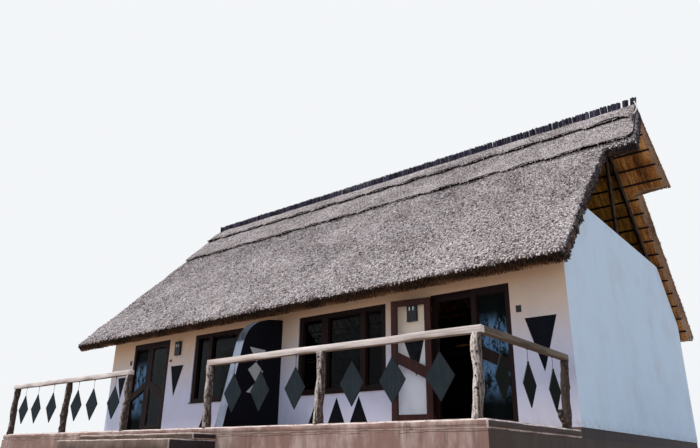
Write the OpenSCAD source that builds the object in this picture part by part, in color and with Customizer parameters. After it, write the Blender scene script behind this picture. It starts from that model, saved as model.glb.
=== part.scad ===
// Thatched double chalet on a raised veranda plinth.
// Origin: ground level, middle of the house, front face of the front wall.
// +X to the right seen from the veranda, +Y to the back, +Z up, millimetres.

/* [Plinth and veranda] */
// Height of the veranda floor above the ground
deck_h = 750; // [600:10:1000]
// Thickness of the floor slab and of the veranda topping
topping_t = 100; // [60:5:150]
// Depth of the veranda in front of the house
veranda_d = 2630; // [2200:10:3200]
// Right end of the veranda from the middle of the house
veranda_r = 5630; // [5620:10:5900]
// Left end of the veranda from the middle of the house
veranda_l = 4800; // [4750:10:5400]
// Length of the plinth's toe under the veranda
plinth_toe = 30; // [20:5:80]
// How far the plinth stands back under the wall plaster
plinth_in = 10; // [5:1:20]
// Height of the kerb under each gable wall
kerb_h = 40; // [20:5:80]
// Left edge of the steps
steps_x0 = -1250; // [-1500:10:-900]
// Width of the steps
steps_w = 2830; // [1500:10:2900]
// Height of the two shallow risers below the veranda floor
shallow_riser = 85; // [70:5:100]
// Length of the first tread
tread_first = 400; // [300:10:500]
// Length of the second tread
tread_second = 370; // [300:10:500]
// Length of each lower tread
tread_low = 300; // [250:10:400]
// Number of lower risers
low_risers = 3; // [2:1:4]

/* [Walls] */
// Half of the house length, outside the gable walls
half_len = 5620; // [5600:10:5900]
// Depth of the house over its front and back walls
house_d = 6600; // [6200:10:7000]
// Thickness of the outer walls
wall_t = 230; // [200:5:300]
// Height of the wall under its plate
wall_h = 2280; // [2260:5:2300]
// Thickness of the filling that closes the eave outside the plate
fill_t = 60; // [40:5:80]
// Height of the level top of each gable wall
gable_h = 3530; // [3200:10:4000]
// Thickness of the inner cross wall
cross_t = 150; // [100:5:250]
// Height of the inner cross wall
cross_h = 2500; // [2300:10:2700]
// Distance from the middle of the house to the middle of each inner arch
arch_x = 2200; // [1500:10:3000]
// Width of each inner arch
arch_w = 1000; // [800:10:1200]
// Height of each inner arch at its crown
arch_h = 2000; // [1900:10:2200]

/* [Wing wall] */
// Thickness of the wing wall between the two verandas
wing_t = 200; // [150:5:250]
// Length of the wing wall at its foot
wing_foot = 1310; // [1100:10:1500]
// Length of the wing wall at its shoulder
wing_shoulder = 970; // [800:10:1050]
// Height of the wing wall's shoulder
wing_shoulder_h = 1500; // [1300:10:1600]
// Height of the wing wall where it meets the house
wing_h = 2100; // [2000:10:2150]

/* [Roof] */
// Pitch of the roof
pitch = 45; // [44:0.5:46]
// Reach of the thatch in front of the walls
eave_out = 540; // [500:10:590]
// Height of the thatch's outer edge above the floor
eave_h = 2270; // [2260:5:2290]
// Angle at which the eaves rise to the right within the roof's slopes
eave_turn = 0.57; // [0:0.01:0.7]
// Thickness of the thatch
thatch_t = 210; // [190:5:230]
// Radius of the thatch's upper eave edge
eave_r = 70; // [30:5:100]
// Radius of the thatch's lower eave edge
eave_r_low = 40; // [20:5:60]
// Right verge from the middle of the house
verge_r = 5800; // [5760:10:6000]
// Left verge at the eave from the middle of the house
verge_l = 6330; // [6200:10:6500]
// Left verge at the ridge from the middle of the house
verge_l_top = 6130; // [6100:10:6200]
// Right reach of the hood at its lower corners
hood_x = 6350; // [6300:10:6500]
// Right reach of the hood at the ridge
hood_x_top = 6230; // [6150:10:6290]
// Distance down the slope from the ridge to the hood's lower edge
hood_drop = 1740; // [1700:10:2300]
// Distance down the slope to the lower ledge of the ridge capping
ledge_low = 1640; // [1400:10:1680]
// Distance down the slope to the upper ledge of the ridge capping
ledge_up = 580; // [400:10:800]
// Thickness of each layer of the ridge capping
cap_t = 48; // [30:2:60]
// Width of the flat saddle along the ridge
saddle_w = 150; // [120:5:200]
// Height of the ridge stakes
stake_h = 190; // [100:5:220]
// Width of each ridge stake
stake_w = 125; // [60:5:135]
// Distance between ridge stakes
stake_gap = 160; // [140:5:220]

/* [Roof timbers] */
// Diameter of the rafter poles
rafter_d = 110; // [90:5:120]
// Distance between rafters
rafter_gap = 900; // [700:10:950]
// Diameter of the rafters in the gables
gable_rafter_d = 80; // [60:5:110]
// Rafters on each side of the middle one
rafters_side = 5; // [4:1:5]
// Diameter of the laths
lath_d = 38; // [30:1:45]
// Distance between laths up the slope
lath_gap = 330; // [300:5:400]
// Distance up the slope to the first lath
lath_first = 345; // [300:5:400]
// Height of the wall plate
plate_h = 120; // [110:5:125]
// Width of the wall plate
plate_w = 100; // [90:5:120]
// Diameter of the ridge pole
ridge_d = 120; // [80:5:150]
// Diameter of the king post in each gable
king_d = 70; // [50:5:100]

/* [Doors and windows] */
// Distance from the middle of the house to each door opening
door_x = 3410; // [3300:10:3450]
// Width of each door opening with its side light
door_w = 1350; // [1300:10:1400]
// Height of the door and window heads
head_h = 2100; // [2050:5:2110]
// Width of the frame's jambs
jamb_w = 70; // [60:5:80]
// Height of the door frame's head
door_head = 110; // [100:5:120]
// Depth of the door and window frames
frame_d = 115; // [100:5:140]
// Width of the strip of jamb that the closed leaf leaves bare
jamb_show = 22; // [18:1:30]
// Height of the strip of head that the closed leaf leaves bare
head_show = 30; // [28:1:45]
// Width of each door leaf
leaf_w = 693; // [650:1:720]
// Thickness of each door leaf
leaf_t = 45; // [40:1:50]
// Gap round each door leaf
leaf_gap = 6; // [5:1:8]
// Width of the mullion between leaf and side light
mullion_w = 120; // [110:5:140]
// Overlap of the closed leaf on the mullion
leaf_lap = 40; // [30:1:45]
// Width of the leaf's stiles
stile_w = 90; // [70:5:110]
// Height of the leaf's top rail
top_rail = 80; // [60:5:100]
// Height of the leaf's bottom rail
bottom_rail = 245; // [150:5:300]
// Height of the side light's bottom rail
side_rail = 150; // [100:5:250]
// Height of the raked rails beside the mullion
rake_high = 1150; // [1000:10:1300]
// Fall of the raked rails away from the mullion
rake_fall = 270; // [100:10:400]
// Depth of the raked rails, measured upright
rake_d = 150; // [100:5:200]
// How far the hinge pins stand in front of the wall
pin_out = 12; // [11:1:20]
// Height of the low hinges above the floor
hinge_low = 200; // [150:5:300]
// Height of the middle hinges above the floor
hinge_mid = 1050; // [900:10:1200]
// Height of the high hinges above the floor
hinge_high = 1880; // [1800:5:1900]
// Opening angle at which the right leaf stands
leaf_open = 171; // [150:1:171]
// Thickness of the glass
glass_t = 8; // [6:1:10]
// Distance from the middle of the house to each window opening
window_x = 530; // [450:10:600]
// Width of each window opening
window_w = 1990; // [1950:10:2050]
// Height of the window openings above the floor
sill_h = 690; // [600:10:800]
// Width of the window frame's outer members
window_stile = 100; // [80:5:110]
// Height of the window frame's top and bottom members
window_rail = 75; // [60:5:90]
// Distance from the window's edge to its first mullion
mullion_a = 550; // [500:10:600]
// Width of the first window mullion
mullion_a_w = 150; // [100:5:160]
// Distance from the window's edge to its second mullion
mullion_b = 1440; // [1350:10:1500]
// Width of the second window mullion
mullion_b_w = 110; // [80:5:150]

/* [Veranda rail] */
// Height of the rail's top above the floor
rail_h = 940; // [850:10:1050]
// Height of the rail's section
rail_t = 80; // [60:5:100]
// Depth of the rail's section
rail_w = 80; // [60:5:100]
// Distance of the rail's middle from the veranda's edge
rail_in = 60; // [60:5:100]
// Open joint between the front and side rails at the corner
rail_joint = 3; // [2:1:6]
// Right end of the left rail
rail_gap_l = -730; // [-1000:10:-700]
// Left end of the right rail
rail_gap_r = 1200; // [1000:10:1220]
// Diameter of the log posts
post_d = 120; // [90:5:130]
// Distance of the first post's top from the left rail's outer end
end_post_in = 140; // [60:5:300]
// Distance of the left rail's middle post from the middle of the house
middle_post_l = 2680; // [2400:10:3000]
// Distance of the left rail's last post from the rail's end at the steps
gap_post_l = 65; // [40:5:150]
// Distance of the right rail's first post from the rail's end at the steps
gap_post_r = 40; // [40:5:150]
// Distance of the right rail's middle post from the middle of the house
middle_post_r = 3370; // [3000:10:3700]
// Distance of the corner post's top from the side rail's middle
corner_post_in = 40; // [0:5:80]
// Distance of the side rail's post from the house at its top
side_post_in = 240; // [200:10:400]
// How far the side rail's post leans out towards the veranda's edge at its foot
side_post_lean = 150; // [0:10:200]
// Width of the hanging diamonds
diamond_w = 360; // [250:10:400]
// Height of the hanging diamonds
diamond_h = 530; // [400:10:600]
// Height of the diamonds' middle above the floor
diamond_z = 445; // [400:5:480]
// Thickness of the diamonds
diamond_t = 12; // [8:1:20]
// Diameter of the wires that carry the diamonds
wire_d = 6; // [4:1:8]

/* [Wall lamps] */
// Distance from the middle of the house to each wall lamp
lamp_x = 3070; // [3000:10:3100]
// Width of the wall lamps
lamp_w = 190; // [120:5:220]
// Height of the wall lamps
lamp_h = 300; // [200:5:350]
// Depth of the wall lamps
lamp_d = 60; // [40:5:65]
// Height of the wall lamps' underside above the floor
lamp_z = 1720; // [1600:10:1780]

/* [Hidden] */

// Colours of the finishes
limewash = [0.86, 0.82, 0.78];
oxide = [0.44, 0.29, 0.25];
oxide_dark = [0.20, 0.13, 0.12];
straw_grey = [0.45, 0.41, 0.38];
straw_brown = [0.40, 0.28, 0.17];
pole_brown = [0.22, 0.15, 0.11];
mahogany = [0.20, 0.09, 0.07];
bleached = [0.72, 0.64, 0.55];
bark = [0.33, 0.27, 0.22];
slate = [0.25, 0.27, 0.26];
black_metal = [0.05, 0.05, 0.05];
pane = [0.55, 0.68, 0.75, 0.35];

// Room for cuts that run past a solid
past = 4000;
slack = 1;

// Heights above the ground
wall_top = deck_h + wall_h;
plate_top = wall_top + plate_h;
gable_top = deck_h + gable_h;
head_z = deck_h + head_h;
roof_z0 = deck_h + eave_h;

// Roof planes over the front slope, as heights at a distance y behind the front wall
ridge_y = house_d / 2;
slope_len = (ridge_y + eave_out) / cos(pitch);
ridge_z = roof_z0 + slope_len * sin(pitch);
function thatch_top(y) = roof_z0 + (y + eave_out) * tan(pitch);
function lath_under(y) = thatch_top(y) - (thatch_t + lath_d) / cos(pitch);
function rafter_under(y) = lath_under(y) - rafter_d / cos(pitch);
function gable_under(y) = lath_under(y) - gable_rafter_d / cos(pitch);

// Distances behind the front wall at which those planes reach a height
function y_of_lath(z) = (z - lath_under(0)) / tan(pitch);
function y_of_gable(z) = (z - gable_under(0)) / tan(pitch);

// Roof ends, as distances from the middle of the house
hood_s = slope_len - hood_drop;
hood_y = hood_s * cos(pitch) - eave_out;
function hood_end(y) = hood_x + (hood_x_top - hood_x) * (y - hood_y) / (ridge_y - hood_y);
function left_end(y) = verge_l + (verge_l_top - verge_l) * (y + eave_out) / (ridge_y + eave_out);

// Place of the gable timbers
gable_mid = half_len - wall_t / 2;

// Door leaf, seen in the right unit, with more room for its swinging edge at the mullion
closing_gap = 3;
pocket_x0 = door_x + jamb_show;
leaf_x0 = pocket_x0 + leaf_gap;
leaf_x1 = leaf_x0 + leaf_w;
pocket_x1 = leaf_x1 + leaf_gap + closing_gap;
mullion_x0 = leaf_x1 - leaf_lap;
mullion_x1 = mullion_x0 + mullion_w;
door_x1 = door_x + door_w;
pocket_d = leaf_t + leaf_gap;
threshold_gap = 2;
leaf_z0 = deck_h + leaf_gap + threshold_gap;
leaf_z1 = head_z - head_show - leaf_gap;
pin_x = leaf_x0 - leaf_gap;
pin_r = 8;
knuckle_h = 45;
knuckle_gap = 1;
hinge_heights = [hinge_low, hinge_mid, hinge_high];

// Rail lines
rail_y = -veranda_d + rail_in;
rail_x = veranda_r - rail_in;
rail_top = deck_h + rail_h;
rail_under = rail_top - rail_t;
post_h = rail_h - rail_t;

// Middles of the post tops, and how far each foot leans to the right of its top
posts_left = [[-veranda_l + end_post_in, 0], [-middle_post_l, 0], [rail_gap_l - gap_post_l, 5]];
posts_right = [[rail_gap_r + gap_post_r, 30], [middle_post_r, -20], [rail_x - corner_post_in, -40]];

// Places of the diamonds in each bay, as shares of the way from post to post
shares_left = [[0.19, 0.44, 0.73], [0.18, 0.45, 0.80]];
shares_right = [[0.25, 0.50, 0.80], [0.23, 0.50, 0.79]];
shares_side = [0.20, 0.50, 0.82];

module mirrored_x(on) mirror([on ? 1 : 0, 0, 0]) children();

// Slope coordinates: y runs up the slope from the eave, z stands out of the thatch
module on_slope() translate([0, -eave_out, roof_z0]) rotate([pitch, 0, 0]) children();

// The back slope repeats the front one across the ridge
module back_half() translate([0, house_d, 0]) mirror([0, 1, 0]) children();

// A profile in y and z, carried along X from x0 to x1
module along_x(x0, x1, points)
    translate([x0, 0, 0]) rotate([90, 0, 90]) linear_extrude(x1 - x0) polygon(points);

// Profile of the front and back walls with the filling that meets the laths
function wall_profile() = [
    [0, deck_h], [wall_t, deck_h], [wall_t, wall_top], [fill_t, wall_top],
    [fill_t, lath_under(fill_t)], [0, lath_under(0)]
];

// Part of that profile above a height
function lintel_profile(z) = [
    [0, z], [wall_t, z], [wall_t, wall_top], [fill_t, wall_top],
    [fill_t, lath_under(fill_t)], [0, lath_under(0)]
];

// Masonry

module house_plinth() color(oxide)
    translate([-half_len + plinth_in, -plinth_toe, 0])
        cube([2 * (half_len - plinth_in), house_d + plinth_toe - plinth_in, deck_h - topping_t]);

module floor_slab() color(oxide) {
    translate([-half_len + plinth_in, -plinth_toe, deck_h - topping_t])
        cube([2 * (half_len - plinth_in), house_d + plinth_toe - plinth_in, topping_t]);
    for (side = [-1, 1])
        translate([side * (half_len - (wall_t + plinth_in) / 2) - (wall_t - plinth_in) / 2, 0,
                   deck_h - slack])
            cube([wall_t - plinth_in, house_d - plinth_in, kerb_h + slack]);
}

module veranda_block(z0, z1)
    translate([-veranda_l, -veranda_d, z0])
        cube([veranda_l + veranda_r, veranda_d - plinth_toe, z1 - z0]);

module veranda_plinth() color(oxide) veranda_block(0, deck_h - topping_t);

module veranda_topping() color(oxide) veranda_block(deck_h - topping_t, deck_h);

// Two long shallow treads below the veranda, then ordinary steps down to the ground
low_riser = (deck_h - 2 * shallow_riser) / low_risers;
function low_tread_y(i) = -veranda_d - tread_first - tread_second - i * tread_low;

module front_steps() color(oxide_dark)
    along_x(steps_x0, steps_x0 + steps_w, concat(
        [[-veranda_d, 0], [-veranda_d, deck_h - shallow_riser],
         [-veranda_d - tread_first, deck_h - shallow_riser],
         [-veranda_d - tread_first, deck_h - 2 * shallow_riser],
         [low_tread_y(0), deck_h - 2 * shallow_riser]],
        [for (i = [1 : low_risers - 1], end = [0, 1])
            [low_tread_y(i - 1 + end), deck_h - 2 * shallow_riser - i * low_riser]],
        [[low_tread_y(low_risers - 1), 0]]));

module front_wall_end(left) color(limewash) mirrored_x(left)
    along_x(door_x1, half_len - wall_t, wall_profile());

module front_wall_left_end() front_wall_end(true);

module front_wall_right_end() front_wall_end(false);

module front_wall_centre() color(limewash) difference() {
    along_x(-door_x, door_x, wall_profile());
    for (left = [false, true]) mirrored_x(left)
        translate([window_x, -slack, deck_h + sill_h])
            cube([window_w, wall_t + 2 * slack, head_h - sill_h]);
}

module door_lintel(left) color(limewash) mirrored_x(left)
    along_x(door_x, door_x1, lintel_profile(head_z));

module left_door_lintel() door_lintel(true);

module right_door_lintel() door_lintel(false);

module back_wall() color(limewash) back_half()
    along_x(-half_len + wall_t, half_len - wall_t, wall_profile());

// The gable wall follows the laths up from each eave to its level top
module gable_wall(left) color(limewash) mirrored_x(left)
    along_x(half_len - wall_t, half_len, [
        [0, deck_h + kerb_h], [house_d, deck_h + kerb_h], [house_d, lath_under(0)],
        [house_d - y_of_lath(gable_top), gable_top], [y_of_lath(gable_top), gable_top],
        [0, lath_under(0)]]);

module left_gable_wall() gable_wall(true);

module right_gable_wall() gable_wall(false);

module cross_wall() color(limewash) difference() {
    translate([-half_len + wall_t, ridge_y - cross_t / 2, deck_h])
        cube([2 * (half_len - wall_t), cross_t, cross_h]);
    for (x = [-arch_x, arch_x]) translate([x, ridge_y + cross_t / 2 + slack, 0]) {
        translate([-arch_w / 2, -cross_t - 2 * slack, deck_h - slack])
            cube([arch_w, cross_t + 2 * slack, arch_h - arch_w / 2 + slack]);
        translate([0, 0, deck_h + arch_h - arch_w / 2]) rotate([90, 0, 0])
            cylinder(d = arch_w, h = cross_t + 2 * slack, $fn = 64);
    }
}

// Shoulder of the wing wall: a curve that leaves along the batter and runs level to the wall
batter = (wing_foot - wing_shoulder) / wing_shoulder_h;
wing_rise = wing_h - wing_shoulder_h;
wing_steps = 14;
function bezier(a, b, c, d, t) =
    pow(1 - t, 3) * a + 3 * pow(1 - t, 2) * t * b + 3 * (1 - t) * t * t * c + pow(t, 3) * d;
wing_pull = [-wing_shoulder + batter * wing_rise * 0.75, wing_shoulder_h + wing_rise * 0.75];
wing_sag = 40;
wing_level = [-wing_shoulder * 0.57, wing_h - wing_sag];

module wing_wall() color(limewash)
    along_x(-wing_t / 2, wing_t / 2, concat(
        [[0, deck_h], [-wing_foot, deck_h]],
        [for (i = [0 : wing_steps]) bezier(
            [-wing_shoulder, wing_shoulder_h], wing_pull, wing_level, [0, wing_h],
            i / wing_steps) + [0, deck_h]]));

// Roof timbers

module wall_plate()
    translate([-half_len + wall_t, fill_t, wall_top])
        cube([2 * (half_len - wall_t), plate_w, plate_h]);

module wall_plates() color(pole_brown) {
    wall_plate();
    back_half() wall_plate();
}

module ridge_pole() color(pole_brown)
    translate([-gable_mid + rafter_d / 2, ridge_y,
               rafter_under(ridge_y) - ridge_d / 2 / cos(pitch)])
        rotate([0, 90, 0]) cylinder(d = ridge_d, h = 2 * gable_mid - rafter_d, $fn = 32);

// One pole under the laths along the slope, longer than it ends up
module rafter_blank(x, d)
    on_slope() translate([x, 0, -thatch_t - lath_d - d / 2])
        rotate([-90, 0, 0]) cylinder(d = d, h = slope_len + past / 8, $fn = 32);

module cut_past_ridge()
    translate([-2 * past, ridge_y, 0]) cube([4 * past, past, 3 * past]);

// Rafters with plumb-cut feet behind the filling, seated flat on the plate
module rafters() difference() {
    for (i = [-rafters_side : rafters_side]) rafter_blank(i * rafter_gap, rafter_d);
    cut_past_ridge();
    translate([-2 * past, -past + fill_t, 0]) cube([4 * past, past, 3 * past]);
    translate([-2 * past, -past / 2, 0]) cube([4 * past, past / 2 + fill_t + plate_w, plate_top]);
}

module rafters_front() color(pole_brown) rafters();

module rafters_back() color(pole_brown) back_half() rafters();

// Laths stop short of the verges and reach under the hood above its lower edge
lath_in = 60;
lath_count = floor((slope_len - thatch_t * tan(pitch) - lath_first - lath_d) / lath_gap) + 1;

module laths() for (i = [0 : lath_count - 1]) {
    s = lath_first + i * lath_gap;
    y = s * cos(pitch) - eave_out;
    right = (s > hood_s + thatch_t ? hood_end(y) : verge_r) - lath_in;
    on_slope() translate([-left_end(y) + lath_in, s, -thatch_t - lath_d / 2])
        rotate([0, 90, 0]) cylinder(d = lath_d, h = right + left_end(y) - lath_in, $fn = 16);
}

module laths_front() color(pole_brown) laths();

module laths_back() color(pole_brown) back_half() laths();

// Gable truss in the plane of the gable wall, standing on its level top
module gable_frame(left) color(pole_brown) mirrored_x(left) difference() {
    union() {
        difference() {
            rafter_blank(gable_mid, gable_rafter_d);
            cut_past_ridge();
        }
        back_half() difference() {
            rafter_blank(gable_mid, gable_rafter_d);
            cut_past_ridge();
        }
        translate([gable_mid, ridge_y, gable_top])
            cylinder(d = king_d, h = gable_under(ridge_y) - gable_top + gable_rafter_d / 2, $fn = 32);
    }
    translate([0, -past, 0]) cube([2 * past, house_d + 2 * past, gable_top]);
}

module left_gable_frame() gable_frame(true);

module right_gable_frame() gable_frame(false);

// Panes that fill the triangles on both sides of the king post
module gable_pane() {
    y0 = y_of_gable(gable_top);
    y1 = ridge_y - king_d / 2;
    along_x(gable_mid - glass_t / 2, gable_mid + glass_t / 2,
            [[y0, gable_top], [y1, gable_top], [y1, gable_under(y1)]]);
}

module gable_glass() color(pane) for (left = [false, true]) mirrored_x(left) {
    gable_pane();
    back_half() gable_pane();
}

// Thatch

// Section up the slope, with both edges at the eave rounded
function thatch_profile() = concat(
    [for (a = [0 : 22.5 : 90])
        [eave_r_low - eave_r_low * sin(a), -thatch_t + eave_r_low - eave_r_low * cos(a)]],
    [for (a = [0 : 15 : 90]) [eave_r - eave_r * cos(a), -eave_r + eave_r * sin(a)]],
    [[slope_len + thatch_t, 0], [slope_len + thatch_t, -thatch_t]]);

// Upright prisms that trim the raked ends of the front slope, set in by a distance
module raked_ends(inset) {
    y0 = -eave_out - 2 * thatch_t;
    y1 = hood_y - 2 * thatch_t;
    reach = hood_x + past / 4;
    linear_extrude(3 * past) polygon([
        [hood_end(y1) - inset, y1], [reach, y1],
        [reach, ridge_y], [hood_end(ridge_y) - inset, ridge_y]]);
    linear_extrude(3 * past) polygon([
        [-left_end(y0) + inset, y0], [-left_end(ridge_y) + inset, ridge_y],
        [-reach, ridge_y], [-reach, y0]]);
}

module thatch_slope() difference() {
    on_slope() rotate([0, 0, eave_turn])
        along_x(-verge_l - past / 8, hood_x + past / 8, thatch_profile());
    cut_past_ridge();
    raked_ends(0);
    on_slope() translate([verge_r, -past / 2, -past / 4])
        cube([past / 2, hood_s + past / 2, past / 2]);
}

module thatch_front() color(straw_grey) thatch_slope();

module thatch_back() color(straw_grey) back_half() thatch_slope();

// Point of the capping, a distance down the slope and a distance out of it
function cap_point(down, out) = [
    ridge_y - down * cos(pitch) - out * sin(pitch),
    ridge_z - down * sin(pitch) + out * cos(pitch)
];
cap_end_in = 25;
saddle_down = (saddle_w / 2 - 2 * cap_t * sin(pitch)) / cos(pitch);
saddle_z = cap_point(saddle_down, 2 * cap_t)[1];
function across_ridge(points) =
    [for (i = [len(points) - 1 : -1 : 0]) [house_d - points[i][0], points[i][1]]];
cap_half = [
    cap_point(ledge_low, 0), cap_point(ledge_low, cap_t), cap_point(ledge_up, cap_t),
    cap_point(ledge_up, 2 * cap_t), cap_point(saddle_down, 2 * cap_t)
];

// Two layers of stitched capping over the ridge, with a flat saddle for the stakes
module ridge_cap() color(straw_grey) difference() {
    along_x(-verge_l, hood_x,
            concat([[ridge_y, ridge_z]], cap_half, across_ridge(cap_half)));
    raked_ends(cap_end_in);
    back_half() raked_ends(cap_end_in);
}

// Stakes of slightly different heights, cut square, along the saddle
module ridge_comb() color(oxide_dark) {
    first = -verge_l_top + cap_end_in + stake_w / 2;
    last = hood_x_top - cap_end_in - stake_w / 2;
    count = floor((last - first) / stake_gap);
    spacing = (last - first) / count;
    for (i = [0 : count])
        translate([first + i * spacing - stake_w / 2, ridge_y - saddle_w * 0.3, saddle_z])
            cube([stake_w * (0.9 + 0.1 * sin(i * 137)), saddle_w * 0.6,
                  stake_h * (0.93 + 0.07 * sin(i * 211))]);
}

// Doors

// Outline of a raked rail between two uprights, highest at the mullion's side
function rake_outline(x_high, x_low, run) = let (
    z = deck_h + rake_high,
    fall = rake_fall * abs(x_low - x_high) / run
) [
    [x_high, z - rake_d / 2], [x_low, z - fall - rake_d / 2],
    [x_low, z - fall + rake_d / 2], [x_high, z + rake_d / 2]
];

// A flat outline in x and z, thick from y0 to y1
module upright(y0, y1, points)
    translate([0, y1, 0]) rotate([90, 0, 0]) linear_extrude(y1 - y0) polygon(points);

glass_run = leaf_w - 2 * stile_w;
side_x1 = door_x1 - jamb_w;

module door_frame() difference() {
    union() {
        difference() {
            translate([door_x, 0, deck_h]) cube([door_w, frame_d, head_h]);
            translate([door_x + jamb_w, -slack, deck_h - slack])
                cube([mullion_x0 - door_x - jamb_w, frame_d + 2 * slack,
                      head_h - door_head + slack]);
            translate([mullion_x1, -slack, deck_h + side_rail])
                cube([side_x1 - mullion_x1, frame_d + 2 * slack,
                      head_h - door_head - side_rail]);
        }
        upright(leaf_gap, frame_d - leaf_gap, rake_outline(mullion_x1, side_x1, glass_run));
    }
    translate([pocket_x0, -slack, deck_h - slack])
        cube([pocket_x1 - pocket_x0, pocket_d + slack, leaf_z1 + leaf_gap - deck_h + slack]);
}

module left_door_frame() color(mahogany) mirrored_x(true) door_frame();

module right_door_frame() color(mahogany) door_frame();

// Panes above and below a raked rail, in one opening
module raked_panes(x_high, x_low, z0, z1, y) {
    rail = rake_outline(x_high, x_low, glass_run);
    upright(y - glass_t / 2, y + glass_t / 2, [[x_high, z0], [x_low, z0], rail[1], rail[0]]);
    upright(y - glass_t / 2, y + glass_t / 2, [rail[3], rail[2], [x_low, z1], [x_high, z1]]);
}

module sidelight_glass() color(pane) for (left = [false, true]) mirrored_x(left)
    raked_panes(mullion_x1, side_x1, deck_h + side_rail, head_z - door_head, frame_d / 2);

// Closed leaf in its pocket, with lift-off hinge knuckles at its edge
module door_leaf() {
    difference() {
        translate([leaf_x0, 0, leaf_z0]) cube([leaf_w, leaf_t, leaf_z1 - leaf_z0]);
        translate([leaf_x0 + stile_w, -slack, leaf_z0 + bottom_rail])
            cube([glass_run, leaf_t + 2 * slack,
                  leaf_z1 - leaf_z0 - bottom_rail - top_rail]);
    }
    upright(0, leaf_t, rake_outline(leaf_x1 - stile_w, leaf_x0 + stile_w, glass_run));
    for (z = hinge_heights) translate([pin_x, -pin_out, deck_h + z + knuckle_gap]) {
        cylinder(r = pin_r, h = knuckle_h, $fn = 32);
        translate([leaf_gap / 3, 0, 0]) cube([leaf_gap + pin_r, pin_out, knuckle_h]);
    }
}

module leaf_glass()
    raked_panes(leaf_x1 - stile_w, leaf_x0 + stile_w,
                leaf_z0 + bottom_rail, leaf_z1 - top_rail, leaf_t / 2);

// Turns the closed leaf outwards about its hinge pins
module swung_open(angle)
    translate([pin_x, -pin_out, 0]) rotate([0, 0, -angle])
        translate([-pin_x, pin_out, 0]) children();

module left_door_leaf() color(mahogany) mirrored_x(true) door_leaf();

module right_door_leaf() color(mahogany) swung_open(leaf_open) door_leaf();

module left_door_glass() color(pane) mirrored_x(true) leaf_glass();

module right_door_glass() color(pane) swung_open(leaf_open) leaf_glass();

// Fixed knuckles below the leaves' own ones, on flags screwed to the jambs
module door_hinges() color(black_metal) for (left = [false, true], z = hinge_heights)
    mirrored_x(left) translate([pin_x, -pin_out, deck_h + z - knuckle_h]) {
        cylinder(r = pin_r, h = knuckle_h, $fn = 32);
        translate([-jamb_show + leaf_gap, 0, 0])
            cube([jamb_show - leaf_gap, pin_out, knuckle_h]);
    }

// Windows

function window_lights() = [
    [window_stile, mullion_a], [mullion_a + mullion_a_w, mullion_b],
    [mullion_b + mullion_b_w, window_w - window_stile]
];
window_in = 20;

module window_frame() difference() {
    translate([window_x, window_in, deck_h + sill_h])
        cube([window_w, frame_d, head_h - sill_h]);
    for (light = window_lights())
        translate([window_x + light[0], 0, deck_h + sill_h + window_rail])
            cube([light[1] - light[0], frame_d + 2 * window_in,
                  head_h - sill_h - 2 * window_rail]);
}

module left_window_frame() color(mahogany) mirrored_x(true) window_frame();

module right_window_frame() color(mahogany) window_frame();

module window_glass() color(pane)
    for (left = [false, true], light = window_lights()) mirrored_x(left)
        translate([window_x + light[0], window_in + frame_d / 2,
                   deck_h + sill_h + window_rail])
            cube([light[1] - light[0], glass_t, head_h - sill_h - 2 * window_rail]);

// Veranda rail

module front_rail(x0, x1)
    translate([x0, rail_y - rail_w / 2, rail_under]) cube([x1 - x0, rail_w, rail_t]);

module top_rails() color(bleached) {
    front_rail(-veranda_l, rail_gap_l);
    front_rail(rail_gap_r, rail_x + rail_w / 2);
    side_y = rail_y + rail_w / 2 + rail_joint;
    translate([rail_x - rail_w / 2, side_y, rail_under])
        cube([rail_w, post_d / 2 - side_post_in - side_y, rail_t]);
}

// A crooked log: rings of a wandering centre and an uneven radius
log_sides = 12;
log_rings = 9;
log_sway = [16, 12];
function log_point(k, a, lean, seed) = let (
    t = k / (log_rings - 1),
    fade = sin(180 * t),
    girth = 1 - 0.10 * t + 0.07 * sin(seed * 77 + k * 97) + 0.05 * sin(3 * a + seed * 41 + k * 35),
    r = post_d / 2 * girth
) [
    lean * (1 - t) + fade * log_sway[0] * sin(seed * 53 + t * 250) + r * cos(a),
    fade * log_sway[1] * sin(seed * 91 + t * 300) + r * sin(a),
    post_h * t
];

module log_post(lean, seed) polyhedron(
    points = [for (k = [0 : log_rings - 1], i = [0 : log_sides - 1])
        log_point(k, i * 360 / log_sides, lean, seed)],
    faces = concat(
        [[for (i = [0 : log_sides - 1]) i]],
        [[for (i = [log_sides - 1 : -1 : 0]) (log_rings - 1) * log_sides + i]],
        [for (k = [0 : log_rings - 2], i = [0 : log_sides - 1], half = [0, 1]) let (
            j = (i + 1) % log_sides,
            low = k * log_sides,
            high = low + log_sides
        ) half == 0 ? [low + i, high + i, low + j] : [low + j, high + i, high + j]]));

module rail_posts_left() color(bark)
    for (i = [0 : len(posts_left) - 1])
        translate([posts_left[i][0], rail_y, deck_h]) log_post(posts_left[i][1], i + 1);

module rail_posts_right() color(bark) {
    for (i = [0 : len(posts_right) - 1])
        translate([posts_right[i][0], rail_y, deck_h]) log_post(posts_right[i][1], i + 5);
    translate([rail_x, -side_post_in, deck_h]) rotate([0, 0, -90]) log_post(side_post_lean, 9);
}

// A hanging plate with the wire that carries it, under the rail at a place along it
module diamond(along) translate([along, 0, 0]) {
    upright(-diamond_t / 2, diamond_t / 2, [
        [0, deck_h + diamond_z - diamond_h / 2], [diamond_w / 2, deck_h + diamond_z],
        [0, deck_h + diamond_z + diamond_h / 2], [-diamond_w / 2, deck_h + diamond_z]]);
    wire_z = deck_h + diamond_z + diamond_h / 2 - 3 * wire_d;
    translate([0, 0, wire_z]) cylinder(d = wire_d, h = rail_under - wire_z, $fn = 16);
}

// Diamonds in the bay between two posts
module bay_of_diamonds(from, to, shares) for (share = shares) diamond(from + share * (to - from));

// Diamonds in every bay along the front, between posts given from left to right
module front_bays(posts, shares) translate([0, rail_y, 0])
    for (i = [1 : len(posts) - 1]) bay_of_diamonds(posts[i - 1][0], posts[i][0], shares[i - 1]);

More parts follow.
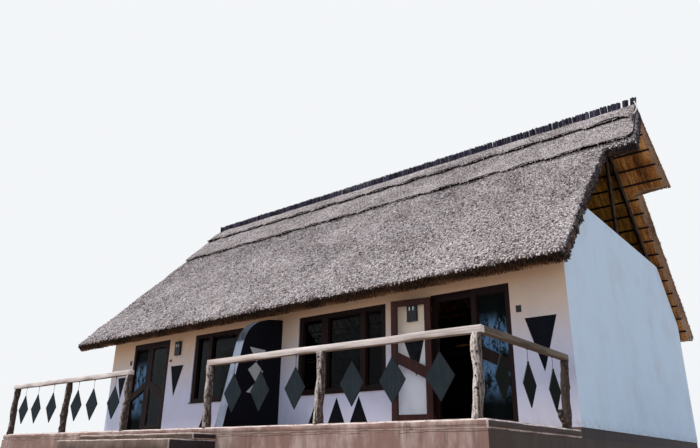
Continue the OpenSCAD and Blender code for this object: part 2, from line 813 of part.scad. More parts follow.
module diamonds_left() color(slate) front_bays(posts_left, shares_left);

module diamonds_right() color(slate) {
    front_bays(posts_right, shares_right);
    translate([rail_x, 0, 0]) rotate([0, 0, 90])
        bay_of_diamonds(rail_y, -side_post_in, shares_side);
}

// Wall lamps

module wall_lamps() color(black_metal) for (left = [false, true]) mirrored_x(left)
    translate([lamp_x - lamp_w / 2, -lamp_d, deck_h + lamp_z]) cube([lamp_w, lamp_d, lamp_h]);

house_plinth();
floor_slab();
veranda_plinth();
veranda_topping();
front_steps();
front_wall_left_end();
front_wall_right_end();
front_wall_centre();
left_door_lintel();
right_door_lintel();
back_wall();
left_gable_wall();
right_gable_wall();
cross_wall();
wing_wall();
wall_plates();
ridge_pole();
rafters_front();
rafters_back();
laths_front();
laths_back();
thatch_front();
thatch_back();
ridge_cap();
ridge_comb();
left_gable_frame();
right_gable_frame();
gable_glass();
left_door_frame();
right_door_frame();
sidelight_glass();
left_door_leaf();
right_door_leaf();
left_door_glass();
right_door_glass();
door_hinges();
left_window_frame();
right_window_frame();
window_glass();
top_rails();
rail_posts_left();
rail_posts_right();
diamonds_left();
diamonds_right();
wall_lamps();
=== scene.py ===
"""Looks of a thatched double chalet on a raised veranda, dressed round its packed construction.

Metres; +X to the right along the front, +Y to the back, +Z up, origin at ground level under the
middle of the front wall. Shapes are functions of two parameters on a grid, worked out as whole
arrays. Colours are written as they look on a screen and made linear once, by tint().
"""
from __future__ import annotations

import logging
import math
from dataclasses import dataclass, field
from enum import Enum

import bpy
import numpy as np
from mathutils import Matrix, Vector


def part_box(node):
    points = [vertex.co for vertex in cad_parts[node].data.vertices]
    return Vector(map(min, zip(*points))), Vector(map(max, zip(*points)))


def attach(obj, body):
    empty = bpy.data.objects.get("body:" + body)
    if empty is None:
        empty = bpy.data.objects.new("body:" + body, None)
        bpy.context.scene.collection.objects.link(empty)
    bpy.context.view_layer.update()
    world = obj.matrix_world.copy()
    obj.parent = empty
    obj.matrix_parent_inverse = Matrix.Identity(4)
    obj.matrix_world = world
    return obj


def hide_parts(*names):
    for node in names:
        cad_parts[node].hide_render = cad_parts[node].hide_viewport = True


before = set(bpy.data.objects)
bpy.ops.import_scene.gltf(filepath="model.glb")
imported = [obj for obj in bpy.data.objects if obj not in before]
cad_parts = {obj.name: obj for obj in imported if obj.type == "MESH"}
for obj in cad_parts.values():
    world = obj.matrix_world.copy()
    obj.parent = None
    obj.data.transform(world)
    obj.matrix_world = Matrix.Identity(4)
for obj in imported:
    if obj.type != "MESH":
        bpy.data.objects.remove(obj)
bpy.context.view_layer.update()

LOG = logging.getLogger("chalet")
Array = np.ndarray
Material = bpy.types.Material
Socket = bpy.types.NodeSocket
Feed = object  # a socket's own value, or another node's output
Draws = np.random.Generator
Pair = tuple[float, float]
Triple = tuple[float, float, float]
Colour = Triple
Solid = tuple[Array, list[Array]]  # points, and arrays of triangles or quads
HALF = math.sqrt(0.5)  # sine and cosine of the roof's pitch of 45 degrees
DECK = 0.75  # height of the veranda's floor
UP = np.array([0, 0, 1.0])


def tint(red: float, green: float, blue: float) -> Colour:
    """Screen colour of 0 to 255 made linear.

    Formula: with c / 255 as c, ((c + 0.055) / 1.055) ** 2.4, or c / 12.92 near black.
    """
    def linear(value: float) -> float:
        """Linear light of one channel."""
        c = value / 255
        return ((c + 0.055) / 1.055) ** 2.4 if c > 0.04 else c / 12.92
    return linear(red), linear(green), linear(blue)


class Body(Enum):
    """The bodies that pieces ride on."""
    HOUSE = "house"
    RIGHT_DOOR = "right_door"
    LEFT_DOOR = "left_door"


class Slot(Enum):
    """The finishes named in the part's record."""
    LIMEWASH = "limewash"
    PLINTH = "oxide_plinth"
    STEP = "step_cement"
    THATCH = "thatch"
    RIDGE = "ridge_thatch"
    STAKES = "ridge_stakes"
    JOINERY = "mahogany_frame"
    RAIL = "bleached_rail"
    POST = "bark_post"
    METAL = "black_metal"


# Nets of shader nodes


class Net:
    """A node tree under construction, with short calls for the nodes that the finishes use."""

    def __init__(self, tree: bpy.types.NodeTree) -> None:
        """Starts on an empty tree."""
        self.tree = tree
        tree.nodes.clear()

    def node(self, kind: str, feeds: dict | None = None, **settings: object) -> bpy.types.Node:
        """Adds a node.

        Args:
            kind: its type without the ShaderNode prefix.
            feeds: what goes into its sockets, a value or another node's output, by name or number.
            settings: its own properties.
        Returns:
            The node.
        """
        made = self.tree.nodes.new("ShaderNode" + kind)
        for key, value in settings.items():
            setattr(made, key, value)
        for key, value in (feeds or {}).items():
            self.feed(made.inputs[key], value)
        return made

    def feed(self, socket: Socket, value: Feed) -> None:
        """Links an output to a socket, or sets the socket's own value."""
        if isinstance(value, Socket):
            self.tree.links.new(value, socket)
        elif socket.type == "RGBA" and len(value) == 3:
            socket.default_value = (*value, 1.0)
        else:
            socket.default_value = value

    def place(self) -> Socket:
        """Object coordinates, in metres."""
        return self.node("TexCoord").outputs["Object"]

    def turned(self, vector: Feed, scale: Feed = (1, 1, 1), turn: Feed = (0, 0, 0)) -> Socket:
        """Coordinates turned about the axes and then stretched."""
        rotated = self.node("Mapping", {"Vector": vector, "Rotation": turn}).outputs[0]
        return self.node("Mapping", {"Vector": rotated, "Scale": scale}).outputs[0]

    def noise(self, vector: Feed, scale: Feed, detail: float = 3.0, rough: float = 0.55) -> Socket:
        """Smooth noise about 0.5."""
        feeds = {"Vector": vector, "Scale": scale, "Detail": detail, "Roughness": rough}
        return self.node("TexNoise", feeds).outputs["Fac"]

    def spread(self, value: Feed, low: float, high: float, out_low: float = 0.0,
               out_high: float = 1.0) -> Socket:
        """Smooth step of a value from low to high, put out between two values."""
        feeds = {"Value": value, "From Min": low, "From Max": high, "To Min": out_low, "To Max": out_high}
        return self.node("MapRange", feeds, interpolation_type="SMOOTHSTEP").outputs["Result"]

    def math(self, operation: str, first: Feed, second: Feed = 0.0) -> Socket:
        """One operation on two values."""
        return self.node("Math", {0: first, 1: second}, operation=operation).outputs[0]

    def times(self, first: Feed, second: Feed) -> Socket:
        """Product of two values."""
        return self.math("MULTIPLY", first, second)

    def plus(self, first: Feed, second: Feed) -> Socket:
        """Sum of two values."""
        return self.math("ADD", first, second)

    def minus(self, first: Feed, second: Feed) -> Socket:
        """First value less the second."""
        return self.math("SUBTRACT", first, second)

    def mix(self, share: Feed, first: Feed, second: Feed) -> Socket:
        """Two colours mixed by a share of the second; 6 and 7 are a Mix node's colour sockets."""
        return self.node("Mix", {0: share, 6: first, 7: second}, data_type="RGBA").outputs[2]

    def height_of(self, vector: Feed) -> Socket:
        """The Z of a vector."""
        return self.node("SeparateXYZ", {0: vector}).outputs[2]

    def facing(self, axis: int, way: float) -> Socket:
        """1 on what faces one way along an axis, or both ways where way is 0, and 0 elsewhere."""
        normal = self.node("TexCoord").outputs["Normal"]
        share = self.node("SeparateXYZ", {0: normal}).outputs[axis]
        share = self.times(share, way) if way else self.math("ABSOLUTE", share)
        return self.spread(share, 0.3, 0.8)

    def attribute(self, name: str) -> Socket:
        """A value stored on the mesh."""
        return self.node("Attribute", attribute_name=name).outputs["Fac"]

    def group(self, tree: bpy.types.NodeTree, **feeds: Feed) -> bpy.types.NodeOutputs:
        """The outputs of a group that is placed with its own values."""
        return self.node("Group", feeds, node_tree=tree).outputs

    def bump(self, height: Feed, strength: float, depth: float) -> Socket:
        """A normal from a height."""
        feeds = {"Height": height, "Strength": strength, "Distance": depth}
        return self.node("Bump", feeds).outputs[0]

    def surface(self, colour: Feed, roughness: Feed, normal: Feed | None = None,
                **settings: float) -> None:
        """The Principled shader on the output, with plain values by their sockets' names."""
        feeds = {"Base Color": colour, "Roughness": roughness}
        if normal is not None:
            feeds["Normal"] = normal
        for key, value in settings.items():
            feeds[key.replace("_", " ").title().replace("Ior", "IOR")] = value
        made = self.node("BsdfPrincipled", feeds)
        out = self.node("OutputMaterial")
        self.tree.links.new(made.outputs[0], out.inputs[0])


def new_material(name: str) -> tuple[Material, Net]:
    """An empty material and its net of nodes."""
    material = bpy.data.materials.new(name)
    material.use_nodes = True
    return material, Net(material.node_tree)


def new_group(name: str, inputs: dict[str, object],
              outputs: dict[str, str]) -> tuple[Net, dict[str, Socket], bpy.types.Node]:
    """Starts a node group with named sockets.

    Args:
        name: the group's name.
        inputs: each input's first value; three numbers make a colour, "vector" a vector.
        outputs: each output's kind, Color or Float.
    Returns:
        The tree under construction, its inputs by name, and its output node.
    """
    tree = bpy.data.node_groups.new(name, "ShaderNodeTree")
    net = Net(tree)
    for key, value in inputs.items():
        kind = "Vector" if value == "vector" else "Float" if isinstance(value, float) else "Color"
        socket = tree.interface.new_socket(name=key, in_out="INPUT", socket_type="NodeSocket" + kind)
        if kind == "Float":
            socket.default_value = value
        if kind == "Color":
            socket.default_value = (*value, 1.0)
    for key, kind in outputs.items():
        tree.interface.new_socket(name=key, in_out="OUTPUT", socket_type="NodeSocket" + kind)
    entry = tree.nodes.new("NodeGroupInput")
    return net, {key: entry.outputs[key] for key in inputs}, tree.nodes.new("NodeGroupOutput")


class Effects:
    """Node groups that several finishes share, each built once."""

    def __init__(self) -> None:
        """Builds the groups."""
        self.reeds, self.stain, self.drips = self._reeds(), self._stain(), self._drips()
        self.grain, self.pits, self.crack = self._grain(), self._pits(), self._crack()

    def _reeds(self) -> bpy.types.NodeTree:
        """Cut reeds: fine streaks along the reeds, speckle, patches, and a tone from tuft to tuft.

        The tone is squeezed to between 0.08 and 0.92 before the others are added to it.
        """
        inputs = {"Vector": "vector", "Dark": (0.1, 0.1, 0.1), "Mid": (0.3, 0.3, 0.3),
                  "Light": (0.5, 0.5, 0.5), "Tone": 0.5}
        net, given, out = new_group("reeds", inputs, {"Color": "Color", "Height": "Float"})
        streak = net.noise(net.turned(given["Vector"], (90, 9, 90)), 1.0, detail=2.0, rough=0.6)
        speck = net.noise(given["Vector"], 42.0, rough=0.7)
        patch = net.noise(given["Vector"], 0.9, rough=0.6)
        tone = net.math("MULTIPLY_ADD", given["Tone"], 0.84)
        tone.node.inputs[2].default_value = 0.08
        mixed = net.plus(tone, net.spread(streak, 0.2, 0.8, -0.20, 0.20))
        mixed = net.plus(mixed, net.spread(speck, 0.25, 0.75, -0.20, 0.20))
        mixed = net.plus(mixed, net.spread(patch, 0.3, 0.7, -0.06, 0.06))
        low = net.mix(net.spread(mixed, 0.10, 0.5), given["Dark"], given["Mid"])
        colour = net.mix(net.spread(mixed, 0.5, 0.92), low, given["Light"])
        net.feed(out.inputs["Color"], colour)
        net.feed(out.inputs["Height"], net.plus(streak, speck))
        return net.tree

    def _stain(self) -> bpy.types.NodeTree:
        """Cloudy stains: patches of a second colour, by an amount of 0 to 1."""
        inputs = {"Vector": "vector", "Color": (0.8, 0.8, 0.8), "Stain": (0.4, 0.35, 0.3),
                  "Amount": 0.5, "Scale": 1.0}
        net, given, out = new_group("stain", inputs, {"Color": "Color"})
        cloud = net.noise(given["Vector"], given["Scale"], detail=6.0, rough=0.65)
        mask = net.times(net.spread(cloud, 0.42, 0.72), given["Amount"])
        net.feed(out.inputs["Color"], net.mix(mask, given["Color"], given["Stain"]))
        return net.tree

    def _drips(self) -> bpy.types.NodeTree:
        """Upright runs of rain on a wall, as a mask."""
        net, given, out = new_group("drips", {"Vector": "vector", "Amount": 0.5}, {"Mask": "Float"})
        run = net.noise(net.turned(given["Vector"], (11, 11, 0.5)), 1.0, detail=4.0, rough=0.7)
        broken = net.noise(given["Vector"], 2.4, rough=0.6)
        mask = net.times(net.spread(run, 0.5, 0.72), net.spread(broken, 0.35, 0.65))
        net.feed(out.inputs["Mask"], net.times(mask, given["Amount"]))
        return net.tree

    def _grain(self) -> bpy.types.NodeTree:
        """Wood: fibres along the vector's Z, with darker late wood and fine checks."""
        inputs = {"Vector": "vector", "Dark": (0.1, 0.05, 0.04), "Light": (0.25, 0.12, 0.08), "Scale": 1.0}
        net, given, out = new_group("grain", inputs, {"Color": "Color", "Height": "Float"})
        feeds = {0: given["Vector"], "Scale": given["Scale"]}
        along = net.node("VectorMath", feeds, operation="SCALE").outputs[0]
        fibre = net.noise(net.turned(along, (60, 60, 2.2)), 1.0, detail=4.0, rough=0.65)
        figure = net.noise(net.turned(along, (9, 9, 0.7)), 1.0, rough=0.6)
        check = net.noise(net.turned(along, (130, 130, 1.6)), 1.0, detail=1.0, rough=0.5)
        tone = net.plus(net.times(fibre, 0.55), net.times(figure, 0.45))
        colour = net.mix(net.spread(tone, 0.36, 0.64), given["Dark"], given["Light"])
        split = net.spread(check, 0.60, 0.68)
        colour = net.mix(net.times(split, 0.55), colour, given["Dark"])
        net.feed(out.inputs["Color"], colour)
        net.feed(out.inputs["Height"], net.minus(fibre, split))
        return net.tree

    def _pits(self) -> bpy.types.NodeTree:
        """Trowelled or cast surface: broad waves with fine sand on them, as a height."""
        net, given, out = new_group("pits", {"Vector": "vector", "Sand": 0.3}, {"Height": "Float"})
        wave = net.noise(given["Vector"], 3.5, detail=4.0, rough=0.5)
        sand = net.noise(given["Vector"], 160.0, detail=2.0, rough=0.6)
        net.feed(out.inputs["Height"], net.plus(wave, net.times(sand, given["Sand"])))
        return net.tree

    def _crack(self) -> bpy.types.NodeTree:
        """A ragged level crack at a height, as a mask: thin, wandering and broken in places."""
        inputs = {"Vector": "vector", "Level": 0.6, "Width": 0.006}
        net, given, out = new_group("crack", inputs, {"Mask": "Float"})
        swing = 0.08
        wander = net.times(net.noise(given["Vector"], 2.6, detail=6.0, rough=0.7), swing)
        raised = net.plus(net.height_of(given["Vector"]), wander)
        off = net.math("ABSOLUTE", net.minus(net.minus(raised, swing / 2), given["Level"]))
        share = net.math("MINIMUM", net.math("DIVIDE", off, given["Width"]), 1.0)
        thin = net.minus(1.0, share)
        broken = net.spread(net.noise(given["Vector"], 1.7, rough=0.6), 0.36, 0.50)
        net.feed(out.inputs["Mask"], net.times(thin, broken))
        return net.tree


# Finishes


@dataclass(frozen=True)
class Straw:
    """Thatch: grey weathered reeds above, golden brown ones below, where bands streak them broadly."""
    name: str
    dark: Colour
    mid: Colour
    light: Colour
    turn: float = 0.0
    relief: float = 0.006
    bands: float = 0.0

    def build(self, effects: Effects) -> Material:
        """Reeds that run up the slope, turned to it about X; the tufts give the tone."""
        material, net = new_material(self.name)
        along = net.turned(net.place(), turn=(self.turn, 0, 0))
        tone = net.attribute("tone")
        if self.bands:
            band = net.noise(net.turned(along, (16, 1.5, 16)), 1.0, rough=0.6)
            tone = net.plus(tone, net.spread(band, 0.3, 0.7, -self.bands, self.bands))
        reeds = net.group(effects.reeds, Vector=along, Dark=self.dark, Mid=self.mid, Light=self.light,
                          Tone=tone)
        bump = net.bump(reeds["Height"], 0.7, self.relief)
        net.surface(reeds["Color"], 0.92, bump, specular_ior_level=0.2)
        return material


@dataclass(frozen=True)
class Limewash:
    """Limewash on trowelled plaster, splashed at the foot, with painted light: a warm bounce under the eave,
    sky shade below.

    Where dim is -1 or 1, the face that looks that way along Y is painted near black, a painted shade for the
    inside of the room.
    """
    name: str = "limewash"
    # Painted light: high is a warm bounce under the eave, low a cool sky shade, side a bluer sky shade for
    # faces along X.
    high: Colour = tint(238, 213, 182)
    low: Colour = tint(226, 230, 244)
    side: Colour = tint(226, 242, 250)
    grey: Colour = tint(182, 172, 162)
    splash: Colour = tint(150, 118, 98)
    # inside: near-black painted shade for the room's side of a wall.
    inside: Colour = tint(12, 11, 11)
    splash_height: float = 0.22
    fade: Pair = (1.5, 2.75)
    runs: float = 0.12
    clouds: float = 0.2
    dim: float = 0.0

    def build(self, effects: Effects) -> Material:
        """Painted light in the white, then stains, runs and splashes on it, with the trowel's waves as bump.
        """
        material, net = new_material(self.name)
        place = net.place()
        height = net.height_of(place)
        # Painted light: warmer higher up, bluer on faces that look along X.
        front = net.mix(net.spread(height, *self.fade), self.low, self.high)
        white = net.mix(net.facing(0, 0.0), front, self.side)
        cloudy = net.group(effects.stain, Vector=place, Color=white, Stain=self.grey,
                           Amount=self.clouds, Scale=1.3)
        runs = net.group(effects.drips, Vector=place, Amount=self.runs)
        colour = net.mix(runs["Mask"], cloudy["Color"], self.grey)
        low = net.spread(height, DECK, DECK + self.splash_height, 1.0, 0.0)
        specks = net.spread(net.noise(place, 9.0, detail=5.0, rough=0.7), 0.38, 0.75)
        foot = net.times(net.times(low, specks), 0.5)
        colour = net.mix(foot, colour, self.splash)
        # Painted shade: near black on the face that looks into the room.
        if self.dim:
            colour = net.mix(net.facing(1, self.dim), colour, self.inside)
        pits = net.group(effects.pits, Vector=place, Sand=0.22)
        bump = net.bump(pits["Height"], 0.5, 0.006)
        net.surface(colour, 0.88, bump, specular_ior_level=0.25)
        return material


@dataclass(frozen=True)
class OxideCement:
    """Red-brown floor cement, sun-bleached, with runs, pale worn edges, cracks and a painted shade on its
    right side.
    """
    name: str
    red: Colour
    pale: Colour
    dark: Colour
    nosing: Colour
    # side: painted shade for faces that look along +X.
    side: Colour
    cracks: Pair = (0.625, 0.685)

    def build(self, effects: Effects) -> Material:
        """Stains and runs over the red, cracks, a painted shade on faces to the right, pale wear on the
        edges.
        """
        material, net = new_material(self.name)
        place = net.place()
        drawn_out = net.turned(place, (1.0, 1.0, 0.35))
        cloudy = net.group(effects.stain, Vector=drawn_out, Color=self.red, Stain=self.pale,
                           Amount=1.0, Scale=3.2)
        runs = net.group(effects.drips, Vector=place, Amount=0.8)
        colour = net.mix(runs["Mask"], cloudy["Color"], self.dark)
        lines = [net.group(effects.crack, Vector=place, Level=level, Width=width)["Mask"]
                 for level, width in zip(self.cracks, (0.007, 0.004))]
        crack = net.math("MAXIMUM", *lines)
        colour = net.mix(net.times(crack, 0.9), colour, self.dark)
        # Painted shade on faces that look along +X.
        colour = net.mix(net.times(net.facing(0, 1.0), 0.94), colour, self.side)
        patchy = net.spread(net.noise(place, 14.0, detail=4.0, rough=0.7), 0.25, 0.55)
        worn = net.times(net.attribute("edge"), patchy)
        colour = net.mix(worn, colour, self.nosing)
        pits = net.group(effects.pits, Vector=place, Sand=0.5)
        height = net.minus(pits["Height"], crack)
        net.surface(colour, 0.75, net.bump(height, 0.6, 0.006), specular_ior_level=0.3)
        return material


@dataclass(frozen=True)
class Timber:
    """Sawn, dressed or bark-stripped wood, turned so that its fibres run along one axis, with a painted shade
    on what faces down.
    """
    name: str
    dark: Colour
    light: Colour
    turn: Triple = (0.0, 0.0, 0.0)
    gloss: float = 0.6
    sheen: float = 0.0
    relief: float = 0.002
    scale: float = 1.0
    # under and shade: the colour and share of the painted shade on what faces down.
    under: Colour = tint(92, 72, 54)
    shade: float = 0.0

    def build(self, effects: Effects) -> Material:
        """Grain with its own relief, and a painted shade on what faces down: a share of the under colour."""
        material, net = new_material(self.name)
        along = net.turned(net.place(), turn=self.turn)
        grain = net.group(effects.grain, Vector=along, Dark=self.dark, Light=self.light, Scale=self.scale)
        # Painted shade on what faces down.
        below = net.times(net.facing(2, -1.0), self.shade)
        colour = net.mix(below, grain["Color"], self.under)
        bump = net.bump(grain["Height"], 0.5, self.relief)
        net.surface(colour, self.gloss, bump, coat_weight=self.sheen, coat_roughness=0.3,
                    specular_ior_level=0.15)
        return material


@dataclass(frozen=True)
class Bark:
    """Log with some bark left: pale weathered wood, dark bark and darker knots, with painted light: paler on
    the lit side, barkier to the right.
    """
    name: str = "bark_post"
    pale: Colour = tint(240, 224, 208)
    bark: Colour = tint(72, 58, 48)
    knot: Colour = tint(24, 19, 17)

    def build(self, effects: Effects) -> Material:
        """The mesh gives how bare the log is, painted paler on its lit side, and where its knots sit."""
        material, net = new_material(self.name)
        place = net.place()
        grain = net.group(effects.grain, Vector=place, Dark=self.bark, Light=self.pale, Scale=0.7)
        flake = net.noise(net.turned(place, (26, 26, 15)), 1.0, detail=5.0, rough=0.7)
        # The mesh's value is painted paler on the lit side of each log.
        bare = net.plus(flake, net.times(net.attribute("bare_and_lit"), 0.5))
        colour = net.mix(net.spread(bare, 0.58, 0.70), self.bark, grain["Color"])
        colour = net.mix(net.spread(bare, 0.80, 0.96), colour, self.pale)
        fine = net.noise(net.turned(place, (60, 60, 38)), 1.0, detail=4.0, rough=0.7)
        specks = net.spread(fine, 0.55, 0.62)
        # Painted shade: more bark colour on faces that look along +X.
        colour = net.mix(net.times(net.facing(0, 1.0), 0.7), colour, self.bark)
        colour = net.mix(net.times(specks, 0.85), colour, self.knot)
        colour = net.mix(net.attribute("knot"), colour, self.knot)
        height = net.plus(flake, grain["Height"])
        net.surface(colour, 0.85, net.bump(height, 0.8, 0.006), specular_ior_level=0.25)
        return material


@dataclass(frozen=True)
class Paint:
    """Brushed or sprayed paint with a little dust and fading, streaked upright where it is brushed."""
    name: str
    coat: Colour
    faded: Colour
    gloss: float = 0.55
    metal: float = 0.0
    stretch: float = 1.0
    shine: float = 0.4
    # right and its share: painted shade on faces that look along +X.
    right: Colour = (0.0, 0.0, 0.0)
    right_shade_share: float = 0.0

    def build(self, effects: Effects) -> Material:
        """Cloudy fading over the coat, brush marks as bump, and a painted shade to the right: a share of a
        darker coat on faces along +X.
        """
        material, net = new_material(self.name)
        place = net.turned(net.place(), (self.stretch, self.stretch, 1.0))
        cloudy = net.group(effects.stain, Vector=place, Color=self.coat, Stain=self.faded, Amount=0.6,
                           Scale=5.0)
        dust = net.noise(place, 60.0, detail=4.0, rough=0.7)
        colour = net.mix(net.spread(dust, 0.5, 0.8, 0.0, 0.3), cloudy["Color"], self.faded)
        # Painted shade on faces that look along +X.
        darker = net.times(net.facing(0, 1.0), self.right_shade_share)
        colour = net.mix(darker, colour, self.right)
        rough = net.spread(dust, 0.3, 0.7, self.gloss - 0.08, self.gloss + 0.12)
        net.surface(colour, rough, net.bump(dust, 0.25, 0.001), metallic=self.metal,
                    specular_ior_level=self.shine)
        return material


@dataclass(frozen=True)
class Glass:
    """Window glass with a faint tint and a breath of dust; a patchy pane has a painted reflection, dark at
    head and foot, sky blue in flecks between.
    """
    name: str
    tone: Colour
    bend: float = 1.14
    clear: float = 1.0
    patchy: bool = False
    shadow: Colour = (0.012, 0.018, 0.016)

    def build(self, effects: Effects) -> Material:
        """Clear panes whose roughness rises a little where dust lies; a patchy pane's colour is a painted
        reflection.
        """
        material, net = new_material(self.name)
        dust = net.noise(net.place(), 3.0, detail=5.0, rough=0.7)
        rough = net.spread(dust, 0.45, 0.85, 0.01, 0.08)
        colour = self.tone
        # Painted reflection: the tone in flecks between head and foot, the dark shadow colour elsewhere.
        if self.patchy:
            height = net.height_of(net.place())
            below_head = net.spread(height, 2.2, 2.5, 1.0, 0.0)
            band = net.times(net.spread(height, 1.1, 1.5), below_head)
            reflected_flecks = net.noise(net.turned(net.place(), (9, 9, 4)), 1.0, detail=5.0, rough=0.75)
            band = net.times(band, net.spread(reflected_flecks, 0.40, 0.56))
            colour = net.mix(band, self.shadow, self.tone)
        net.surface(colour, rough, transmission_weight=self.clear, ior=self.bend)
        return material


@dataclass(frozen=True)
class Lens:
    """Milky lamp glass, unlit."""
    name: str = "lamp_lens"
    milk: Colour = tint(238, 238, 232)
    cloud: Colour = tint(190, 190, 186)

    def build(self, effects: Effects) -> Material:
        """White glass with a little cloud in it."""
        material, net = new_material(self.name)
        cloud = net.noise(net.place(), 30.0, rough=0.6)
        colour = net.mix(net.spread(cloud, 0.4, 0.8, 0.0, 0.25), self.milk, self.cloud)
        net.surface(colour, 0.18, coat_weight=0.6)
        return material


Finish = Straw | Limewash | OxideCement | Timber | Bark | Paint | Glass | Lens


# Meshes from arrays


def grid_quads(rows: int, columns: int, wrap_rows: bool = False, wrap_columns: bool = False) -> Array:
    """Quads over a grid of points numbered row by row.

    Args:
        rows: number of rows of points.
        columns: number of points in a row.
        wrap_rows: whether the last row joins the first.
        wrap_columns: whether the last column joins the first.
    Returns:
        An array of four corners a quad, turning from the row towards the column.
    """
    r = np.arange(rows if wrap_rows else rows - 1)[:, None]
    c = np.arange(columns if wrap_columns else columns - 1)[None, :]
    r1, c1 = (r + 1) % rows, (c + 1) % columns
    quads = np.stack([r * columns + c, r1 * columns + c, r1 * columns + c1, r * columns + c1], -1)
    return quads.reshape(-1, 4)


def put_in(name: str, data: bpy.types.ID) -> bpy.types.Object:
    """A new object of the scene."""
    made = bpy.data.objects.new(name, data)
    bpy.context.scene.collection.objects.link(made)
    return made


def make_piece(name: str, shape: Solid, material: Material | list[Material],
               body: Body = Body.HOUSE, smooth: bool = True,
               values: dict[str, Array | float] | None = None,
               finish: list[int] | None = None) -> bpy.types.Object:
    """Puts arrays into a mesh object that rides on a body.

    Args:
        name: the piece's name.
        shape: its points, and arrays of triangles or quads.
        material: its material, or a list of them.
        body: what it moves with.
        smooth: whether it is shaded smooth.
        values: values stored on its points by name, one for each or one for all.
        finish: the number of the material of each array of faces.
    Returns:
        The object.
    """
    vertices, faces = shape
    mesh = bpy.data.meshes.new(name)
    mesh.vertices.add(len(vertices))
    mesh.vertices.foreach_set("co", np.asarray(vertices, np.float32).ravel())
    sizes = np.concatenate([np.full(len(f), f.shape[1]) for f in faces])
    corners = np.concatenate([f.ravel() for f in faces])
    mesh.loops.add(len(corners))
    mesh.loops.foreach_set("vertex_index", corners.astype(np.int32))
    mesh.polygons.add(len(sizes))
    starts = np.concatenate([[0], np.cumsum(sizes)[:-1]])
    mesh.polygons.foreach_set("loop_start", starts.astype(np.int32))
    mesh.polygons.foreach_set("use_smooth", np.full(len(sizes), smooth))
    if finish:
        numbers = np.concatenate([np.full(len(f), n) for f, n in zip(faces, finish)])
        mesh.polygons.foreach_set("material_index", numbers.astype(np.int32))
    mesh.update(calc_edges=True)
    for key, value in (values or {}).items():
        stored = mesh.attributes.new(key, "FLOAT", "POINT")
        stored.data.foreach_set("value", np.broadcast_to(value, len(vertices)).astype(np.float32))
    for each in material if isinstance(material, list) else [material]:
        mesh.materials.append(each)
    piece = put_in(name, mesh)
    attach(piece, body.value)
    LOG.info("%s: %d triangles", name, int((sizes - 2).sum()))
    return piece


def ripple(x: Array, y: Array, wave: float, seed: int) -> Array:
    """Smooth irregular height of about -1 to 1.

    Formula: the sum of sin(k . (x, y) + phase) over seven seeded directions, with wave lengths
    of 0.6 to 1.6 times the one given, times 1.1 / sqrt(7).
    """
    terms = 7
    draw = np.random.default_rng(seed)
    turn, phase = draw.uniform(0, 2 * np.pi, (2, terms))
    number = 2 * np.pi / (wave * draw.uniform(0.6, 1.6, terms))
    total = sum(np.sin(k * (x * np.cos(a) + y * np.sin(a)) + p) for k, a, p in zip(number, turn, phase))
    return total * 1.1 / math.sqrt(terms)


def unit(vectors: Array) -> Array:
    """Vectors scaled to length one."""
    return vectors / np.maximum(np.linalg.norm(vectors, axis=-1, keepdims=True), 1e-9)


def reed_tufts(tips: Array, along: Array, normal: Array, length: Array, width: Array,
               height: Array) -> Solid:
    """Closed wedges, thin at the tip and cut square at the butt.

    Formula: butt corners at tip + along * length +- across * width / 2 +- normal * height / 2,
    where across = normal x along.

    Args:
        tips: where each wedge starts.
        along: unit directions in which they run.
        normal: unit directions that they face.
        length: their lengths.
        width: their widths.
        height: their thicknesses at the butt.
    Returns:
        Five points a wedge, and its faces.
    """
    across = unit(np.cross(normal, along))
    up = np.cross(along, across)
    butt = tips + along * length[:, None]
    w, h = across * (width / 2)[:, None], up * (height / 2)[:, None]
    points = np.stack([tips, butt - w - h, butt + w - h, butt + w + h, butt - w + h], 1).reshape(-1, 3)
    base = 5 * np.arange(len(tips))[:, None, None]
    triangles = base + np.array([[0, 4, 3], [0, 2, 1], [0, 1, 4], [0, 3, 2]])
    quads = base + np.array([[1, 2, 3, 4]])
    return points, [triangles.reshape(-1, 3), quads.reshape(-1, 4)]


def tuft_tones(tone: Array, tip: float = 0.3) -> Array:
    """Tone of each point of the tufts: a painted shade darkens the buried tip, full tone at the cut butt."""
    return (tone[:, None] * np.array([tip, 1, 1, 1, 1])).ravel()


def slab(top: Array, under: Array) -> Solid:
    """A closed plate between two grids of the same size, with a band round their rims.

    Args:
        top: rows by columns by 3 points, whose quads face outwards.
        under: the grid below it.
    Returns:
        The points, and three arrays of quads: top, underside and rim.
    """
    rows, columns = top.shape[:2]
    count = rows * columns
    upper = grid_quads(rows, columns)
    ids = np.arange(count).reshape(rows, columns)
    rim = np.concatenate([ids[:-1, 0], ids[-1, :-1], ids[:0:-1, -1], ids[0, :0:-1]])
    after = np.roll(rim, -1)
    band = np.stack([after, rim, rim + count, after + count], -1)
    points = np.concatenate([top.reshape(-1, 3), under.reshape(-1, 3)])
    return points, [upper, upper[:, ::-1] + count, band]


def closed_tube(rings: Array) -> Solid:
    """A tube through rings of points, closed by a fan at each end.

    Args:
        rings: rings by sides by 3 points, turning left about the way from the first to the last.
    Returns:
        The points with the two end middles last, and its quads and end triangles.
    """
    count, sides = rings.shape[:2]
    points = np.concatenate([rings.reshape(-1, 3), [rings[0].mean(0), rings[-1].mean(0)]])
    quads = grid_quads(count, sides, wrap_columns=True)[:, ::-1]
    here = np.arange(sides)
    after = (here + 1) % sides
    first, last = count * sides, count * sides + 1
    top = (count - 1) * sides
    start = np.stack([np.full(sides, first), after, here], -1)
    end = np.stack([np.full(sides, last), top + here, top + after], -1)
    return points, [quads, np.concatenate([start, end])]


